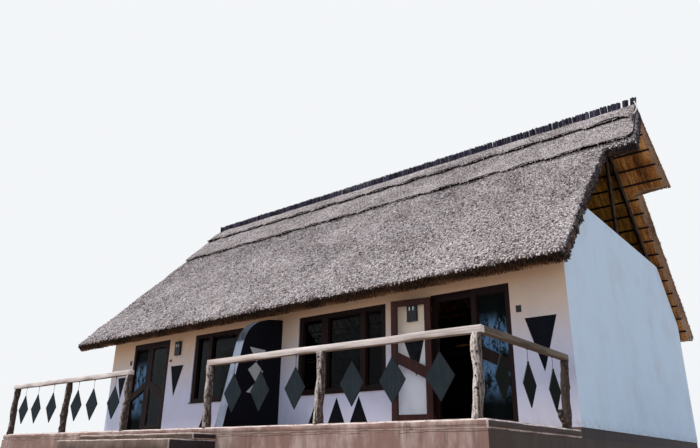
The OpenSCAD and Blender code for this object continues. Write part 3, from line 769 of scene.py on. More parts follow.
def rod_along(path: Array, radius: float | Array, sides: int) -> Solid:
    """A round rod along a path, of one radius or of one for each of its points.

    Formula: ring k is path[k] + radius[k] * (cos a * e1 + sin a * e2), with e1 and e2 square to
    the path's direction there.
    """
    ahead = unit(np.gradient(path, axis=0))
    guide = UP if abs(ahead[0, 2]) < 0.8 else np.array([1.0, 0, 0])
    e1 = unit(np.cross(guide, ahead))
    e2 = np.cross(ahead, e1)
    a = np.arange(sides) * 2 * np.pi / sides
    spokes = np.cos(a)[None, :, None] * e1[:, None] + np.sin(a)[None, :, None] * e2[:, None]
    thick = np.broadcast_to(radius, len(path))[:, None, None]
    return closed_tube(path[:, None] + thick * spokes)


def eye_ring(middle: Array, radius: float, wire: float, along: Array) -> Solid:
    """A round ring of wire.

    Formula: middle + (radius + wire cos b) (Z cos a + along sin a) + wire sin b (Z x along).
    """
    round_ring, round_wire = 16, 6
    a = np.linspace(0, 2 * np.pi, round_ring + 1)[:-1][:, None, None]
    b = np.linspace(0, 2 * np.pi, round_wire + 1)[:-1][None, :, None]
    along = np.asarray(along, float)
    reach = radius + wire * np.cos(b)
    points = middle + reach * (np.cos(a) * UP + np.sin(a) * along) + wire * np.sin(b) * np.cross(UP, along)
    return points.reshape(-1, 3), [grid_quads(round_ring, round_wire, True, True)]


def prism(front: Array, back: Array) -> Solid:
    """A closed solid between two convex loops of points; the front one turns left seen from outside."""
    count = len(front)
    here = np.arange(count)
    after = np.roll(here, -1)
    points = np.concatenate([front, back, [front.mean(0), back.mean(0)]])
    sides = np.stack([after, here, here + count, after + count], -1)
    fans = np.concatenate([np.stack([here, after, np.full(count, 2 * count)], -1),
                           np.stack([after + count, here + count, np.full(count, 2 * count + 1)], -1)])
    return points, [sides, fans]


def wall_plate(corners: list[Pair], front: float, back: float) -> Solid:
    """A flat shape on a wall that faces -Y; its corners in x and z turn left seen from the front."""
    flat = np.array(corners, float)
    loops = [np.stack([flat[:, 0], np.full(len(flat), y), flat[:, 1]], -1) for y in (front, back)]
    return prism(*loops)


def bead_ring(corners: list[Pair], width: float, front: float, back: float) -> Solid:
    """A mitred bead inside an outline in x and z that turns left seen from the front.

    Formula: an inner corner is the outer one plus width * (n1 + n2) / (1 + n1 . n2), with n1 and
    n2 the inward normals of the two sides that meet there.
    """
    outer = np.array(corners, float)
    way = unit(np.roll(outer, -1, 0) - outer)
    inward = np.stack([-way[:, 1], way[:, 0]], -1)
    before = np.roll(inward, 1, 0)
    inner = outer + width * (inward + before) / (1 + (inward * before).sum(1, keepdims=True))
    loops = [(outer, front), (inner, front), (inner, back), (outer, back)]
    points = np.concatenate([np.stack([p[:, 0], np.full(len(p), y), p[:, 1]], -1) for p, y in loops])
    return points, [grid_quads(4, len(outer), True, True)[:, ::-1]]


def joined(parts: list[Solid]) -> Solid:
    """Several closed shapes as one list of points and faces."""
    points, faces, base = [], {}, 0
    for vertices, sets in parts:
        for each in sets:
            faces.setdefault(each.shape[1], []).append(each + base)
        points.append(vertices)
        base += len(vertices)
    return np.concatenate(points), [np.concatenate(f) for f in faces.values()]


def mirrored(part: Solid) -> Solid:
    """A shape mirrored across the middle of the house, turned right side out again."""
    points, faces = part
    return points * np.array([-1, 1, 1]), [each[:, ::-1] for each in faces]


def rounded_box(low: Array, high: Array, radius: float, step: float = 0.25,
                wear: float = 0.0, seed: int = 1) -> tuple[Solid, Array]:
    """A box with rounded, worn edges.

    Formula: a cube's six grids, each point p pulled to q + radius * unit(p - q), where q is p
    held inside the box shrunk by the radius, less a ripple of the wear near the edges.

    Args:
        low: the lowest corner.
        high: the highest corner.
        radius: radius of its edges.
        step: largest distance between grid lines.
        wear: depth of chips and waves along its edges.
        seed: picks the chips.
    Returns:
        The shape, and a value for each point, 1 along the edges.
    """
    low, high = np.asarray(low, float), np.asarray(high, float)
    lines = []
    for a in range(3):
        inner = np.linspace(low[a] + radius, high[a] - radius,
                            max(2, int((high[a] - low[a]) / step) + 1))
        lines.append(np.concatenate([[low[a], low[a] + radius * 0.45], inner,
                                     [high[a] - radius * 0.45, high[a]]]))
    points, faces, base = [], [], 0
    for a in range(3):
        u, v = (a + 1) % 3, (a + 2) % 3
        for far in (False, True):
            grid = np.empty((len(lines[u]), len(lines[v]), 3))
            grid[..., u] = lines[u][:, None]
            grid[..., v] = lines[v][None, :]
            grid[..., a] = lines[a][-1 if far else 0]
            quads = grid_quads(*grid.shape[:2])
            faces.append((quads if far else quads[:, ::-1]) + base)
            points.append(grid.reshape(-1, 3))
            base += len(points[-1])
    points, quads = np.concatenate(points), np.concatenate(faces)
    key = np.round(points, 6)
    _, first, back = np.unique(key, axis=0, return_index=True, return_inverse=True)
    points, quads = points[first], back.reshape(-1)[quads]
    core = np.clip(points, low + radius, high - radius)
    away = points - core
    edge = np.clip(((np.abs(away) > radius * 0.3).sum(1) - 1), 0, 1).astype(float)
    x, y, z = points.T
    chips = wear * np.clip(ripple(x + z, y - z, wave=0.35, seed=seed), 0, 1)
    worn = core + unit(away) * (radius - edge * chips)[:, None]
    return (worn, [quads]), edge


def boxes(corners: list[tuple[Array, Array]], radius: float, step: float = 0.25,
          wear: float = 0.0) -> tuple[Solid, Array]:
    """Several rounded boxes as one shape, with their edge values."""
    made = [rounded_box(low, high, radius, step, wear, seed)
            for seed, (low, high) in enumerate(corners, 1)]
    return joined([shape for shape, _ in made]), np.concatenate([edge for _, edge in made])


# Roof


@dataclass
class Slope:
    """One slope of the roof, in distances down from the ridge, along X, and out of the thatch."""
    side: int
    ridge_y: float
    ridge_z: float
    length: float
    left: Pair
    hood: Pair
    hood_drop: float
    verge: float
    lobe: float
    bevel: float
    eave_rise: float = 0.0131
    thickness: float = 0.21
    soft_eave: float = 0.05
    soft_under: float = 0.04

    @property
    def front(self) -> bool:
        """Whether it is the front slope."""
        return self.side < 0

    @property
    def downhill(self) -> Array:
        """Unit direction down the slope."""
        return self.point(0, 1, 0) - self.point(0, 0, 0)

    @property
    def outwards(self) -> Array:
        """Unit direction out of the thatch."""
        return self.point(0, 0, 1) - self.point(0, 0, 0)

    def point(self, x: Array, down: Array, out: Array) -> Array:
        """Points of the slope.

        Formula: y = ridge_y + side * (down + out) / sqrt 2, z = ridge_z + (out - down) / sqrt 2.
        """
        x, down, out = np.broadcast_arrays(x, down, out)
        return np.stack([x, self.ridge_y + self.side * (down + out) * HALF,
                         self.ridge_z + (out - down) * HALF], -1)

    def eave(self, x: Array) -> Array:
        """How far down the eave lies: a line that rises to the right, with a small wave."""
        x = np.asarray(x, float)
        return self.length - self.eave_rise * x + 0.008 * ripple(x, x * 0 + self.side, wave=0.9, seed=71)

    def left_end(self, down: Array) -> Array:
        """Left verge: a straight rake from the ridge to the eave."""
        return self.left[0] + (self.left[1] - self.left[0]) * down / self.length

    def hood_end(self, down: Array) -> Array:
        """Raked end of the hood."""
        return self.hood[0] + (self.hood[1] - self.hood[0]) * down / self.hood_drop

    def right_end(self, down: Array) -> Array:
        """Right end: the hood's rake above, and the lobed verge below it."""
        down = np.asarray(down, float)
        lobes = self.lobe * ripple(down, down * 0 + self.side, wave=0.5, seed=73)
        return np.where(down < self.hood_drop, self.hood_end(down), self.verge + lobes)

    def outline(self) -> list[Pair]:
        """Corners of the free rim as (x, down), from the left end of the ridge round to its right end."""
        return [(self.left[0], 0.0), (self.left[1], float(self.eave(self.left[1]))),
                (self.verge, float(self.eave(self.verge))), (self.verge, self.hood_drop),
                (self.hood[1], self.hood_drop), (self.hood[0], 0.0)]

    def verge_distance(self, x: Array, down: Array) -> Array:
        """Distance from points of the slope to its ends and to the hood's lower edge."""
        side = self.right_end(down) - x
        corner = np.hypot(np.maximum(self.verge - x, 0), self.hood_drop - down)
        right = np.where(down <= self.hood_drop, np.minimum(side, corner), side)
        return np.maximum(np.minimum(x - self.left_end(down), right), 0)

    def soft(self, down: Array) -> Array:
        """Radius of the ends' rounding: large along the hood, small below it."""
        return 0.050 + 0.035 * np.clip((self.hood_drop + 0.1 - np.asarray(down, float)) / 0.2, 0, 1)

    def rounding(self, radius: Array | float, out: Array) -> Array:
        """How far in a rounded rim lies at a height: r (1 - sqrt(1 - (1 + out / r)^2))."""
        return radius * (1 - np.sqrt(1 - np.clip(1 + out / radius, 0, 0.97) ** 2))

    def inset(self, down: Array, out: Array) -> Array:
        """How far in the end's face lies at a height: the rounding, and below it the 0.9 in 1 bevel."""
        under = np.clip(self.bevel - (out + self.thickness) / 0.9, 0, self.bevel)
        return self.rounding(self.soft(down), out) + under

    def inside(self, x: Array, down: Array) -> Array:
        """Whether points lie on the slope."""
        along = (x > self.left_end(down)) & (x < self.right_end(down))
        return along & (down > 0) & (down < self.eave(x))

    def top(self, x: Array, down: Array) -> Array:
        """Height of the outer surface.

        Formula: a quarter round of radius r at each rim, r * (sqrt(1 - (1 - d / r)^2) - 1), with r
        small at the eave and large at the verges, plus two ripples that fade in from the rims and
        fade out at the ridge.
        """
        r = self.soft(down)
        eave = np.clip(1 - (self.eave(x) - down) / self.soft_eave, 0, 1)
        verge = np.clip(1 - self.verge_distance(x, down) / r, 0, 1)
        round_off = self.soft_eave * (np.sqrt(1 - eave ** 2) - 1) + r * (np.sqrt(1 - verge ** 2) - 1)
        lumps = (0.013 * ripple(x, down, wave=1.7, seed=11 + self.side)
                 + 0.006 * ripple(x, down, wave=0.45, seed=17 + self.side))
        near = np.maximum(eave, verge)
        return np.maximum(round_off, -0.15) + (lumps - 0.010) * (1 - near) * np.clip(down / 0.3, 0, 1)

    def under(self, x: Array, down: Array) -> Array:
        """Height of the underside: flat on the laths, rounded up at the eave and bevelled at the ends."""
        verge = self.verge_distance(x, down)
        near = np.clip(1 - np.minimum(self.eave(x) - down, verge) / self.soft_under, 0, 1)
        rise = self.soft_under * (1 - np.sqrt(1 - near ** 2))
        return -self.thickness + np.maximum(rise, 0.9 * np.clip(self.bevel - verge, 0, None))

    def frame_at(self, x: Array, down: Array) -> tuple[Array, Array, Array]:
        """Point, downhill direction and normal of the outer surface, by differences of 5 mm."""
        step = 0.005
        here = self.point(x, down, self.top(x, down))
        below = self.point(x, down + step, self.top(x, np.minimum(down + step, self.eave(x))))
        beside = self.point(x + step, down, self.top(x + step, down))
        downhill = unit(below - here)
        normal = unit(np.cross(beside - here, downhill)) * -self.side
        flip = np.sign((normal * np.array([0, self.side * HALF, HALF])).sum(-1, keepdims=True))
        return here, downhill, normal * np.where(flip == 0, 1, flip)


@dataclass(frozen=True)
class TuftSort:
    """Ranges of sizes and tilts of a field of reed ends, and what shows of them.

    Shown is a share of the length and its limit; pale and dark tones are a mean and a spread.
    """
    length: Pair
    width: Pair
    height: Pair
    lift: Pair
    shown: Pair
    pale: Pair
    dark: Pair
    pale_share: float = 0.62
    yaw: float = 0.30

    def reach(self, length: Array) -> Array:
        """How much of each length shows."""
        return np.minimum(self.shown[0] * length, self.shown[1])

    def tones(self, draw: Draws, count: int) -> Array:
        """Tones of both sorts, mixed at random."""
        pale = draw.random(count) < self.pale_share
        return np.where(pale, draw.normal(*self.pale, count), draw.normal(*self.dark, count))


@dataclass(frozen=True)
class Rim:
    """How the cut reed ends lie along one sort of rim, on the whole face or only on its top.

    Their way has shares of the directions out of the face, down, and down the slope.
    """
    way: Triple
    set_in: float
    tone: float
    scatter: float = 0.11
    sparse: float = 1.35
    whole: bool = True
    shorter: float = 0.25


EAVE = Rim((0.55, 0.75, 0.0), set_in=0.022, tone=0.04, sparse=1.0, shorter=0.5)
FRONT_HOOD = Rim((0.55, 0.75, 0.0), set_in=0.030, tone=0.30, scatter=0.2)
FRONT_VERGE = Rim((0.75, 0.15, 0.5), set_in=0.034, tone=0.52, scatter=0.2)
BACK_HOOD = Rim((0.55, 0.75, 0.0), set_in=0.030, tone=0.30, whole=False, shorter=0.4)
BACK_VERGE = Rim((0.75, 0.15, 0.5), set_in=0.028, tone=0.52, whole=False, shorter=0.4)


def scattered(draw: Draws, x_span: Pair, down_span: Pair, gap: Pair) -> list[Array]:
    """Places x and down of a grid, each moved at random by up to half a gap."""
    grid = np.meshgrid(np.arange(*x_span, gap[0]), np.arange(*down_span, gap[1]))
    return [(each + draw.uniform(-0.5, 0.5, each.shape) * step).ravel() for each, step in zip(grid, gap)]


@dataclass
class Thatch:
    """Both slopes: their bodies, tufts of reeds all over them, and cut ends along the rims."""
    above: list[Material]
    below: list[Material]
    cut: list[Material]
    ends: list[Material]
    eave_out: float = 0.54
    tuft_gap: Pair = (0.031, 0.037)
    tuft: TuftSort = TuftSort(length=(0.075, 0.125), width=(0.013, 0.030), height=(0.010, 0.021),
                              lift=(0.08, 0.34), shown=(0.5, 0.056), pale=(0.80, 0.15), dark=(0.24, 0.14))
    past_eave: float = 0.034
    capped: float = 1.50
    cut_gap: Pair = (0.0145, 0.021)
    cut_length: Pair = (0.050, 0.074)
    cut_height: Pair = (0.007, 0.015)
    eave_width: Pair = (0.006, 0.014)
    end_width: Pair = (0.012, 0.030)
    slopes: list[Slope] = field(default_factory=list)

    def __post_init__(self) -> None:
        """Takes the slopes' places from the frame."""
        low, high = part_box("thatch_front")
        length = (high.y + self.eave_out) / HALF + 0.01
        for side, lobe, bevel in ((-1, 0.018, 0.0), (1, 0.005, 0.15)):
            self.slopes.append(Slope(
                side, ridge_y=high.y, ridge_z=high.z, length=length, left=(-6.13, -6.33),
                hood=(6.23, high.x), hood_drop=1.74, verge=5.80, lobe=lobe, bevel=bevel))

    def build(self) -> None:
        """Bodies, tufts and rims of both slopes."""
        for k, (slope, node) in enumerate(zip(self.slopes, ("thatch_front", "thatch_back"))):
            self.body(slope, node, [self.above[k], self.below[k], self.cut[k]])
            self.tufts(slope, node, self.above[k])
            self.rims(slope, node, self.cut[k], self.ends[k])

    def body(self, slope: Slope, node: str, materials: list[Material]) -> None:
        """The slab: grid lines crowd near the rims, and the row at the hood's edge steps to the verge."""
        crowd = np.array([0, 0.012, 0.035, 0.07])
        margin = 0.11
        drop = slope.hood_drop
        rows = np.concatenate([
            np.linspace(0, drop - margin, 17), drop - crowd[::-1], drop + 0.001 + crowd,
            np.linspace(drop + 0.12, slope.length - margin, 30), slope.length - crowd[::-1]])[:, None]
        bend = 5.45
        left, right = slope.left_end(rows), slope.right_end(rows)
        inner = left + margin + (bend - left - margin) * np.linspace(0, 1, 100)
        outer = bend + (right - margin - bend) * np.linspace(0, 1, 9)[1:]
        x = np.concatenate([left + crowd, inner, outer, right - crowd[::-1]], 1)
        share = (rows - drop) / (slope.length - drop)
        down = np.where(rows <= drop, rows, drop + share * (slope.eave(x) - drop))
        top = slope.point(x, down, slope.top(x, down))
        under = slope.point(x, down, slope.under(x, down))
        lift = slope.under(x, down) + slope.thickness
        streak = (0.52 + 0.12 * ripple(x, down * 0.2, wave=0.3, seed=19)
                  + 0.07 * ripple(x, down, wave=0.5, seed=29))
        if not slope.front:
            top, under, lift, streak = (each[:, ::-1] for each in (top, under, lift, streak))
        points, (upper, lower, rim) = slab(top, under)
        cut = lift.ravel()[lower - lift.size].mean(1) > 0.03
        # Painted shade: the top under the tufts is dark, as the gaps between them.
        above = 0.16
        tone = np.concatenate([np.full(lift.size, above), streak.ravel()])
        piece = make_piece(node + "_body", (points, [upper, lower[~cut], lower[cut], rim]), materials,
                           values={"tone": tone}, finish=[0, 1, 2, 2])
        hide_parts(node)

    def tufts(self, slope: Slope, node: str, material: Material) -> None:
        """Reed ends over the slope on a jittered grid, in two pieces, left and right.

        They grow a little towards the eave, and are sparser and larger at the back. Under the
        capping only the ends have them.
        """
        draw = np.random.default_rng(211 + slope.side)
        coarse = 1.0 if slope.front else 1.35
        x, down = scattered(draw, (slope.left[1], slope.hood[1]), (0.3, slope.length + 0.15),
                            (self.tuft_gap[0] * coarse, self.tuft_gap[1] * coarse))
        margin = slope.verge_distance(x, down)
        keep = slope.inside(x, down) & (margin > 0.004) & ((down > self.capped) | (margin < 0.2))
        x, down = x[keep], down[keep]
        here, downhill, normal = slope.frame_at(x, down)
        count = len(x)
        grown = (0.88 + 0.06 * down / slope.length) * coarse ** 0.5
        across = np.cross(normal, downhill)
        lift = draw.uniform(*self.tuft.lift, count)[:, None]
        yaw = draw.normal(0, self.tuft.yaw, count)[:, None]
        along = unit(downhill + across * yaw + normal * lift)
        up = unit(normal - along * (normal * along).sum(-1, keepdims=True))
        length = draw.uniform(*self.tuft.length, count) * grown
        reach = np.minimum(self.tuft.reach(length), self.past_eave + slope.eave(x) - down)
        tips = here - along * (length - reach)[:, None] - normal * 0.005
        shape = (length, draw.uniform(*self.tuft.width, count) * grown,
                 draw.uniform(*self.tuft.height, count) * grown)
        broad = 0.05 * ripple(x, down, wave=0.9, seed=5)
        tone = self.tuft.tones(draw, count) + broad + 0.08 * (down / slope.length) ** 2 - 0.02
        tone = np.clip(tone, 0, 1)
        cut = np.median(x)
        for word, half in (("left", x < cut), ("right", x >= cut)):
            ends = reed_tufts(tips[half], along[half], up[half], *(size[half] for size in shape))
            make_piece(f"{node}_reeds_{word}", ends, material, smooth=False,
                       values={"tone": tuft_tones(tone[half])})

    def rims(self, slope: Slope, node: str, eave: Material, ends: Material) -> None:
        """Cut reed ends over the faces of the eave, the verges and the hood's edge.

        At the eave they hang almost straight down, with a painted shade of the tufts above them, darkest at
        the top and lifting towards the lower edge; at the ends they lean out and downhill, painted darker
        towards the underside.
        """
        draw = np.random.default_rng(307 + slope.side)
        sets = {"eave": [], "end": []}
        corners = slope.outline()
        for start, end in zip(corners[:-1], corners[1:]):
            level = abs(end[0] - start[0]) > abs(end[1] - start[1])
            at_eave = level and start[1] > slope.hood_drop + 0.5
            if at_eave:
                rim = EAVE
            elif slope.front:
                rim = FRONT_HOOD if level else FRONT_VERGE
            else:
                rim = BACK_HOOD if level else BACK_VERGE
            sets["eave" if at_eave else "end"].append(self.rim_ends(draw, slope, rim, start, end))
        for word, material, width in (("eave", eave, self.eave_width), ("end", ends, self.end_width)):
            tips, ways, ups, length, tone = (np.concatenate(each) for each in zip(*sets[word]))
            tufts = reed_tufts(tips, ways, ups, length, draw.uniform(*width, len(tips)),
                               draw.uniform(*self.cut_height, len(tips)))
            make_piece(f"{node}_{word}_cut", tufts, material, smooth=False,
                       values={"tone": tuft_tones(tone, 0.6)})

    def rim_ends(self, draw: Draws, slope: Slope, rim: Rim, start: Pair, end: Pair) -> tuple[Array, ...]:
        """Cut ends along one straight stretch of a rim.

        Args:
            draw: the random numbers of the slope's rims.
            slope: the slope.
            rim: how they lie.
            start: where the stretch starts, as x and down.
            end: where it ends.
        Returns:
            Their tips, directions, facings, lengths and tones.
        """
        (x0, d0), (x1, d1) = start, end
        level = rim.way[2] == 0
        count = int(math.hypot(x1 - x0, d1 - d0) / (self.cut_gap[0 if slope.front else 1] * rim.sparse))
        lowest, rows = (0.010 - slope.thickness, 8) if rim.whole else (-0.09, 3)
        s, out = np.meshgrid((np.arange(count) + 0.5) / count, np.linspace(lowest, -0.045, rows))
        s = (s + draw.uniform(-0.5, 0.5, s.shape) / count).ravel()
        out = (out + draw.uniform(-0.010, 0.012, out.shape)).ravel()
        x, down = x0 + (x1 - x0) * s, d0 + (d1 - d0) * s
        depth = np.clip(-out / slope.thickness, 0, 1)
        if level:
            down = slope.eave(x) if rim is EAVE else np.full(x.shape, slope.hood_drop)
            base = slope.point(x, down - rim.set_in - slope.rounding(slope.soft_eave, out), out)
            outward = slope.downhill
        else:
            away = math.copysign(1.0, x0)
            x = slope.right_end(down - 1e-4) if away > 0 else slope.left_end(down)
            base = slope.point(x - away * (rim.set_in + slope.inset(down, out)), down, out)
            outward = np.array([away, 0, 0])
        scatter = draw.normal(0, rim.scatter, (len(x), 3))
        way = unit(outward * rim.way[0] - UP * rim.way[1] + slope.downhill * rim.way[2] + scatter)
        # Painted shade: eave ends darkest at the top under the tufts, other ends darker towards the
        # underside.
        if rim is EAVE:
            golden = 0.62 + 0.30 * ripple(x, out * 3, wave=0.8, seed=31)
            shorter = rim.shorter * np.clip((depth - 0.7) / 0.3, 0, 1)
            tone = rim.tone + golden * depth ** 1.6
        else:
            shorter, tone = rim.shorter, rim.tone - 0.40 * depth
        length = draw.uniform(*self.cut_length, len(x)) * (1 - shorter)
        tone = np.clip(tone + draw.normal(0, 0.17, len(x)), 0, 1)
        return base, way, np.broadcast_to(unit(outward + 0.01), base.shape), length, tone


@dataclass
class RidgeCap:
    """Two stitched layers over the ridge, each with a ragged ledge, and the stakes along its top."""
    thatch: Thatch
    finish: Material
    ledge: Material
    stake: Material
    twine: Material
    layer: float = 0.048
    ledges: Pair = (1.64, 0.58)
    end_in: float = 0.025
    gaps: Pair = (0.034, 0.044)
    tuft: TuftSort = TuftSort(length=(0.065, 0.105), width=(0.014, 0.030), height=(0.009, 0.019),
                              lift=(0.04, 0.26), shown=(0.45, 0.034), pale=(0.75, 0.15), dark=(0.27, 0.13))
    tooth_long: float = 0.9
    tooth_deep: float = 0.075
    flare: float = 0.032
    bend_x: float = 5.90
    bend_size: Pair = (0.36, 0.50)
    last_tooth: Triple = (5.42, 1.545, 0.14)
    stitch_gap: float = 0.45
    stake_size: Triple = (0.063, 0.09, 0.190)
    stake_count: int = 165
    apart: tuple[float, ...] = (0.29, 0.145, 0)

    def build(self) -> None:
        """Layers, tufts on them, stitches and stakes."""
        pieces = [self.layer_body(k) for k in range(2)]
        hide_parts("ridge_cap")
        for slope in self.thatch.slopes:
            self.tufts(slope)
        self.stitches()
        self.stakes()
        self.binding()

    def binding(self) -> None:
        """A pale lath that binds the hood's end, bowed from the stakes down over the front layers.

        Formula: down from -0.02 to 0.62, x following the capping's end with a bow of 45 sin(pi s)
        mm, on the upper layer's surface.
        """
        slope = self.thatch.slopes[0]
        s = np.linspace(0, 1, 15)
        down = -0.02 + 0.64 * s
        x = self.ends(np.maximum(down, 0))[1] + 0.045 * np.sin(np.pi * s)
        path = slope.point(x, down, 2 * self.layer + 0.008 + 0.05 * (1 - s) ** 3)
        make_piece("hood_binding", rod_along(path, 0.011, 8), self.twine)

    def tooth(self, k: int, x: Array, side: float) -> Array:
        """Share of the way along each saw tooth of a ledge, 0 to 1 to the right."""
        return ((x + 0.31 * k + 0.2 * side) / self.tooth_long) % 1.0

    def reach(self, k: int, x: Array, side: float) -> Array:
        """How far down a layer's ledge comes.

        Formula: the ledge less a saw tooth of 75 mm every 0.9 m, plus a ripple. At the right the
        upper ledge bends down in a quarter round 0.50 m high and 0.36 m long, and the lower one
        has a last tooth that falls by 0.14 in 1.
        """
        wander = 0.010 * ripple(x, x * 0 + side, wave=0.5, seed=23 + k)
        saw = self.ledges[k] - self.tooth_deep * self.tooth(k, x, side) + wander
        if k == 1:
            run, fall = self.bend_size
            bend = np.clip((x - self.bend_x) / run, 0, 1)
            return saw + fall * (1 - np.sqrt(1 - bend ** 2 * 0.99))
        start, level, fall = self.last_tooth
        last = np.clip((x - start) / 0.03, 0, 1)
        return saw + last * (level + fall * (x - start) - saw)

    def ends(self, down: Array) -> tuple[Array, Array]:
        """Left and right ends of the capping at a distance down the slope, rounded at the right corner."""
        slope = self.thatch.slopes[0]
        right = slope.hood_end(np.minimum(down, slope.hood_drop - 0.04)) - self.end_in
        return slope.left_end(down) + self.end_in, right - 0.09 * np.clip((down - 1.35) / 0.3, 0, 1) ** 2

    def layer_body(self, k: int) -> bpy.types.Object:
        """One layer from ledge to ledge across the ridge: rows run across, columns along X.

        The lip flares out by up to 32 mm in the middle of each tooth, over an open gap; its top is dark
        between the tufts and its edge and underside near black, as painted shade.
        """
        share = np.concatenate([[1.0, 0.997, 0.985], np.linspace(0.95, 0.0, 14)])
        columns = np.concatenate([np.linspace(0, 0.955, 300), np.linspace(0.955, 1, 60)[1:]])[None, :]
        rows_top, rows_under = [], []
        for slope in self.thatch.slopes:
            down_share = (share if slope.front else share[::-1])[:, None]
            left, right = self.ends(down_share * self.ledges[k])
            x = left + (right - left) * columns
            down = down_share * self.reach(k, x, slope.side)
            near = np.clip(1 - (1 - down_share) / 0.02, 0, 1)
            lip = np.clip(1 - (1 - down_share) / 0.12, 0, 1)
            flare = lip * np.sin(np.pi * self.tooth(k, x, slope.side)) * self.flare
            lumps = 0.006 * ripple(x, down, wave=0.7, seed=41 + k)
            rows_top.append(slope.point(x, down, (k + 1) * self.layer + lumps + flare - 0.012 * near ** 2))
            sunk = down - 0.075 * near
            rows_under.append(slope.point(x, sunk, k * self.layer - 0.004 + 0.012 * near))
        top, under = np.concatenate(rows_top), np.concatenate(rows_under)
        # Painted shade: the layer's top is dark between its tufts, and its edge and underside take the
        # near-black ledge finish.
        return make_piece(f"ridge_layer_{k + 1}", slab(top[::-1], under[::-1]),
                          [self.finish, self.ledge, self.ledge], values={"tone": 0.2},
                          finish=[0, 1, 2])

    def tufts(self, slope: Slope) -> None:
        """Reed ends on both layers of one side, paler by the ridge and thicker along the ledges."""
        draw = np.random.default_rng(401 + slope.side)
        gap = self.gaps[0 if slope.front else 1]
        x, down = scattered(draw, (slope.left[1], slope.hood[1]), (0.05, self.ledges[0] + 0.03), (gap, gap))
        left, right = self.ends(down)
        keep = (x > left + 0.02) & (x < right - 0.02) & (down < self.reach(0, x, slope.side) - 0.012)
        x, down = x[keep], down[keep]
        upper = down < self.reach(1, x, slope.side) - 0.012
        hidden = ~upper & (down < self.reach(1, x, slope.side) + 0.055)
        x, down, upper = x[~hidden], down[~hidden], upper[~hidden]
        out = np.where(upper, 2, 1) * self.layer + 0.006 * ripple(x, down, wave=0.7, seed=41)
        count = len(x)
        along = unit(slope.downhill + np.array([1.0, 0, 0]) * draw.normal(0, self.tuft.yaw, (count, 1))
                     + slope.outwards * draw.uniform(*self.tuft.lift, (count, 1)))
        length = draw.uniform(*self.tuft.length, count)
        tips = slope.point(x, down, out - 0.005) - along * (length - self.tuft.reach(length))[:, None]
        ends = reed_tufts(tips, along, np.broadcast_to(slope.outwards, along.shape), length,
                          draw.uniform(*self.tuft.width, count), draw.uniform(*self.tuft.height, count))
        paler = 0.32 * np.clip(1 - down / 0.45, 0, 1)
        tone = np.clip(self.tuft.tones(draw, count) + paler, 0, 1)
        word = "front" if slope.front else "back"
        make_piece(f"ridge_reeds_{word}", ends, self.finish, smooth=False,
                   values={"tone": tuft_tones(tone)})

    def stitches(self) -> None:
        """Pale twine that comes out above each ledge and goes in below it, at each tooth."""
        draw = np.random.default_rng(503)
        parts = []
        for slope in self.thatch.slopes:
            for k in range(2):
                places = np.arange(-5.9, 5.9, self.stitch_gap)
                for x in places + draw.uniform(-0.10, 0.10, len(places)):
                    low = float(self.reach(k, np.array(x), slope.side))
                    s = np.linspace(0, 1, 9)
                    high = (k + 1) * self.layer + 0.024
                    drop = self.layer * np.clip((s - 0.66) / 0.2, 0, 1) * (s >= 0.66)
                    path = slope.point(x + 0.03 * s * draw.uniform(-1, 1), low - 0.12 + 0.17 * s,
                                       high - drop - 0.03 * (np.abs(s - 0.5) > 0.49))
                    parts.append(rod_along(path, 0.0042, 5))
        make_piece("ridge_stitches", joined(parts), self.twine)

    def stakes(self) -> None:
        """Bundles of nine reeds a stake, ragged at the top; the last three stand apart and lean out."""
        draw = np.random.default_rng(601)
        front = self.thatch.slopes[0]
        width, depth, height = self.stake_size
        last = front.hood[0] - 0.08
        first = front.left[0] + self.end_in + width / 2
        middles = np.append(np.linspace(first, last - 0.37, self.stake_count), last - np.array(self.apart))
        around = np.arange(8) * np.pi / 4
        seats = np.concatenate([[[0, 0]], np.stack([np.cos(around), np.sin(around)], -1)])
        low = front.ridge_z + 2 * self.layer * HALF - 0.03
        parts = []
        for k, x in enumerate(middles):
            apart = max(0, k - self.stake_count + 1)
            wide = width * (1.65 if apart else 1.0)
            tall = height * draw.uniform(0.94, 1.01)
            lean = draw.normal(0, 0.006, 2) + np.array([0.010 * apart, 0])
            for seat in seats:
                foot = np.array([x + seat[0] * wide * 0.38, front.ridge_y + seat[1] * depth * 0.34, low])
                top = foot + [lean[0] + seat[0] * 0.004, lean[1] + seat[1] * 0.004,
                              tall + 0.03 - abs(draw.normal(0, 0.011))]
                parts.append(rod_along(np.linspace(foot, top, 3), wide * draw.uniform(0.14, 0.18), 7))
        tone = np.repeat(draw.uniform(0.1, 0.9, len(parts)), len(parts[0][0]))
        piece = make_piece("ridge_comb_bundles", joined(parts), self.stake, smooth=False,
                           values={"tone": tone})
        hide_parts("ridge_comb")


# Veranda


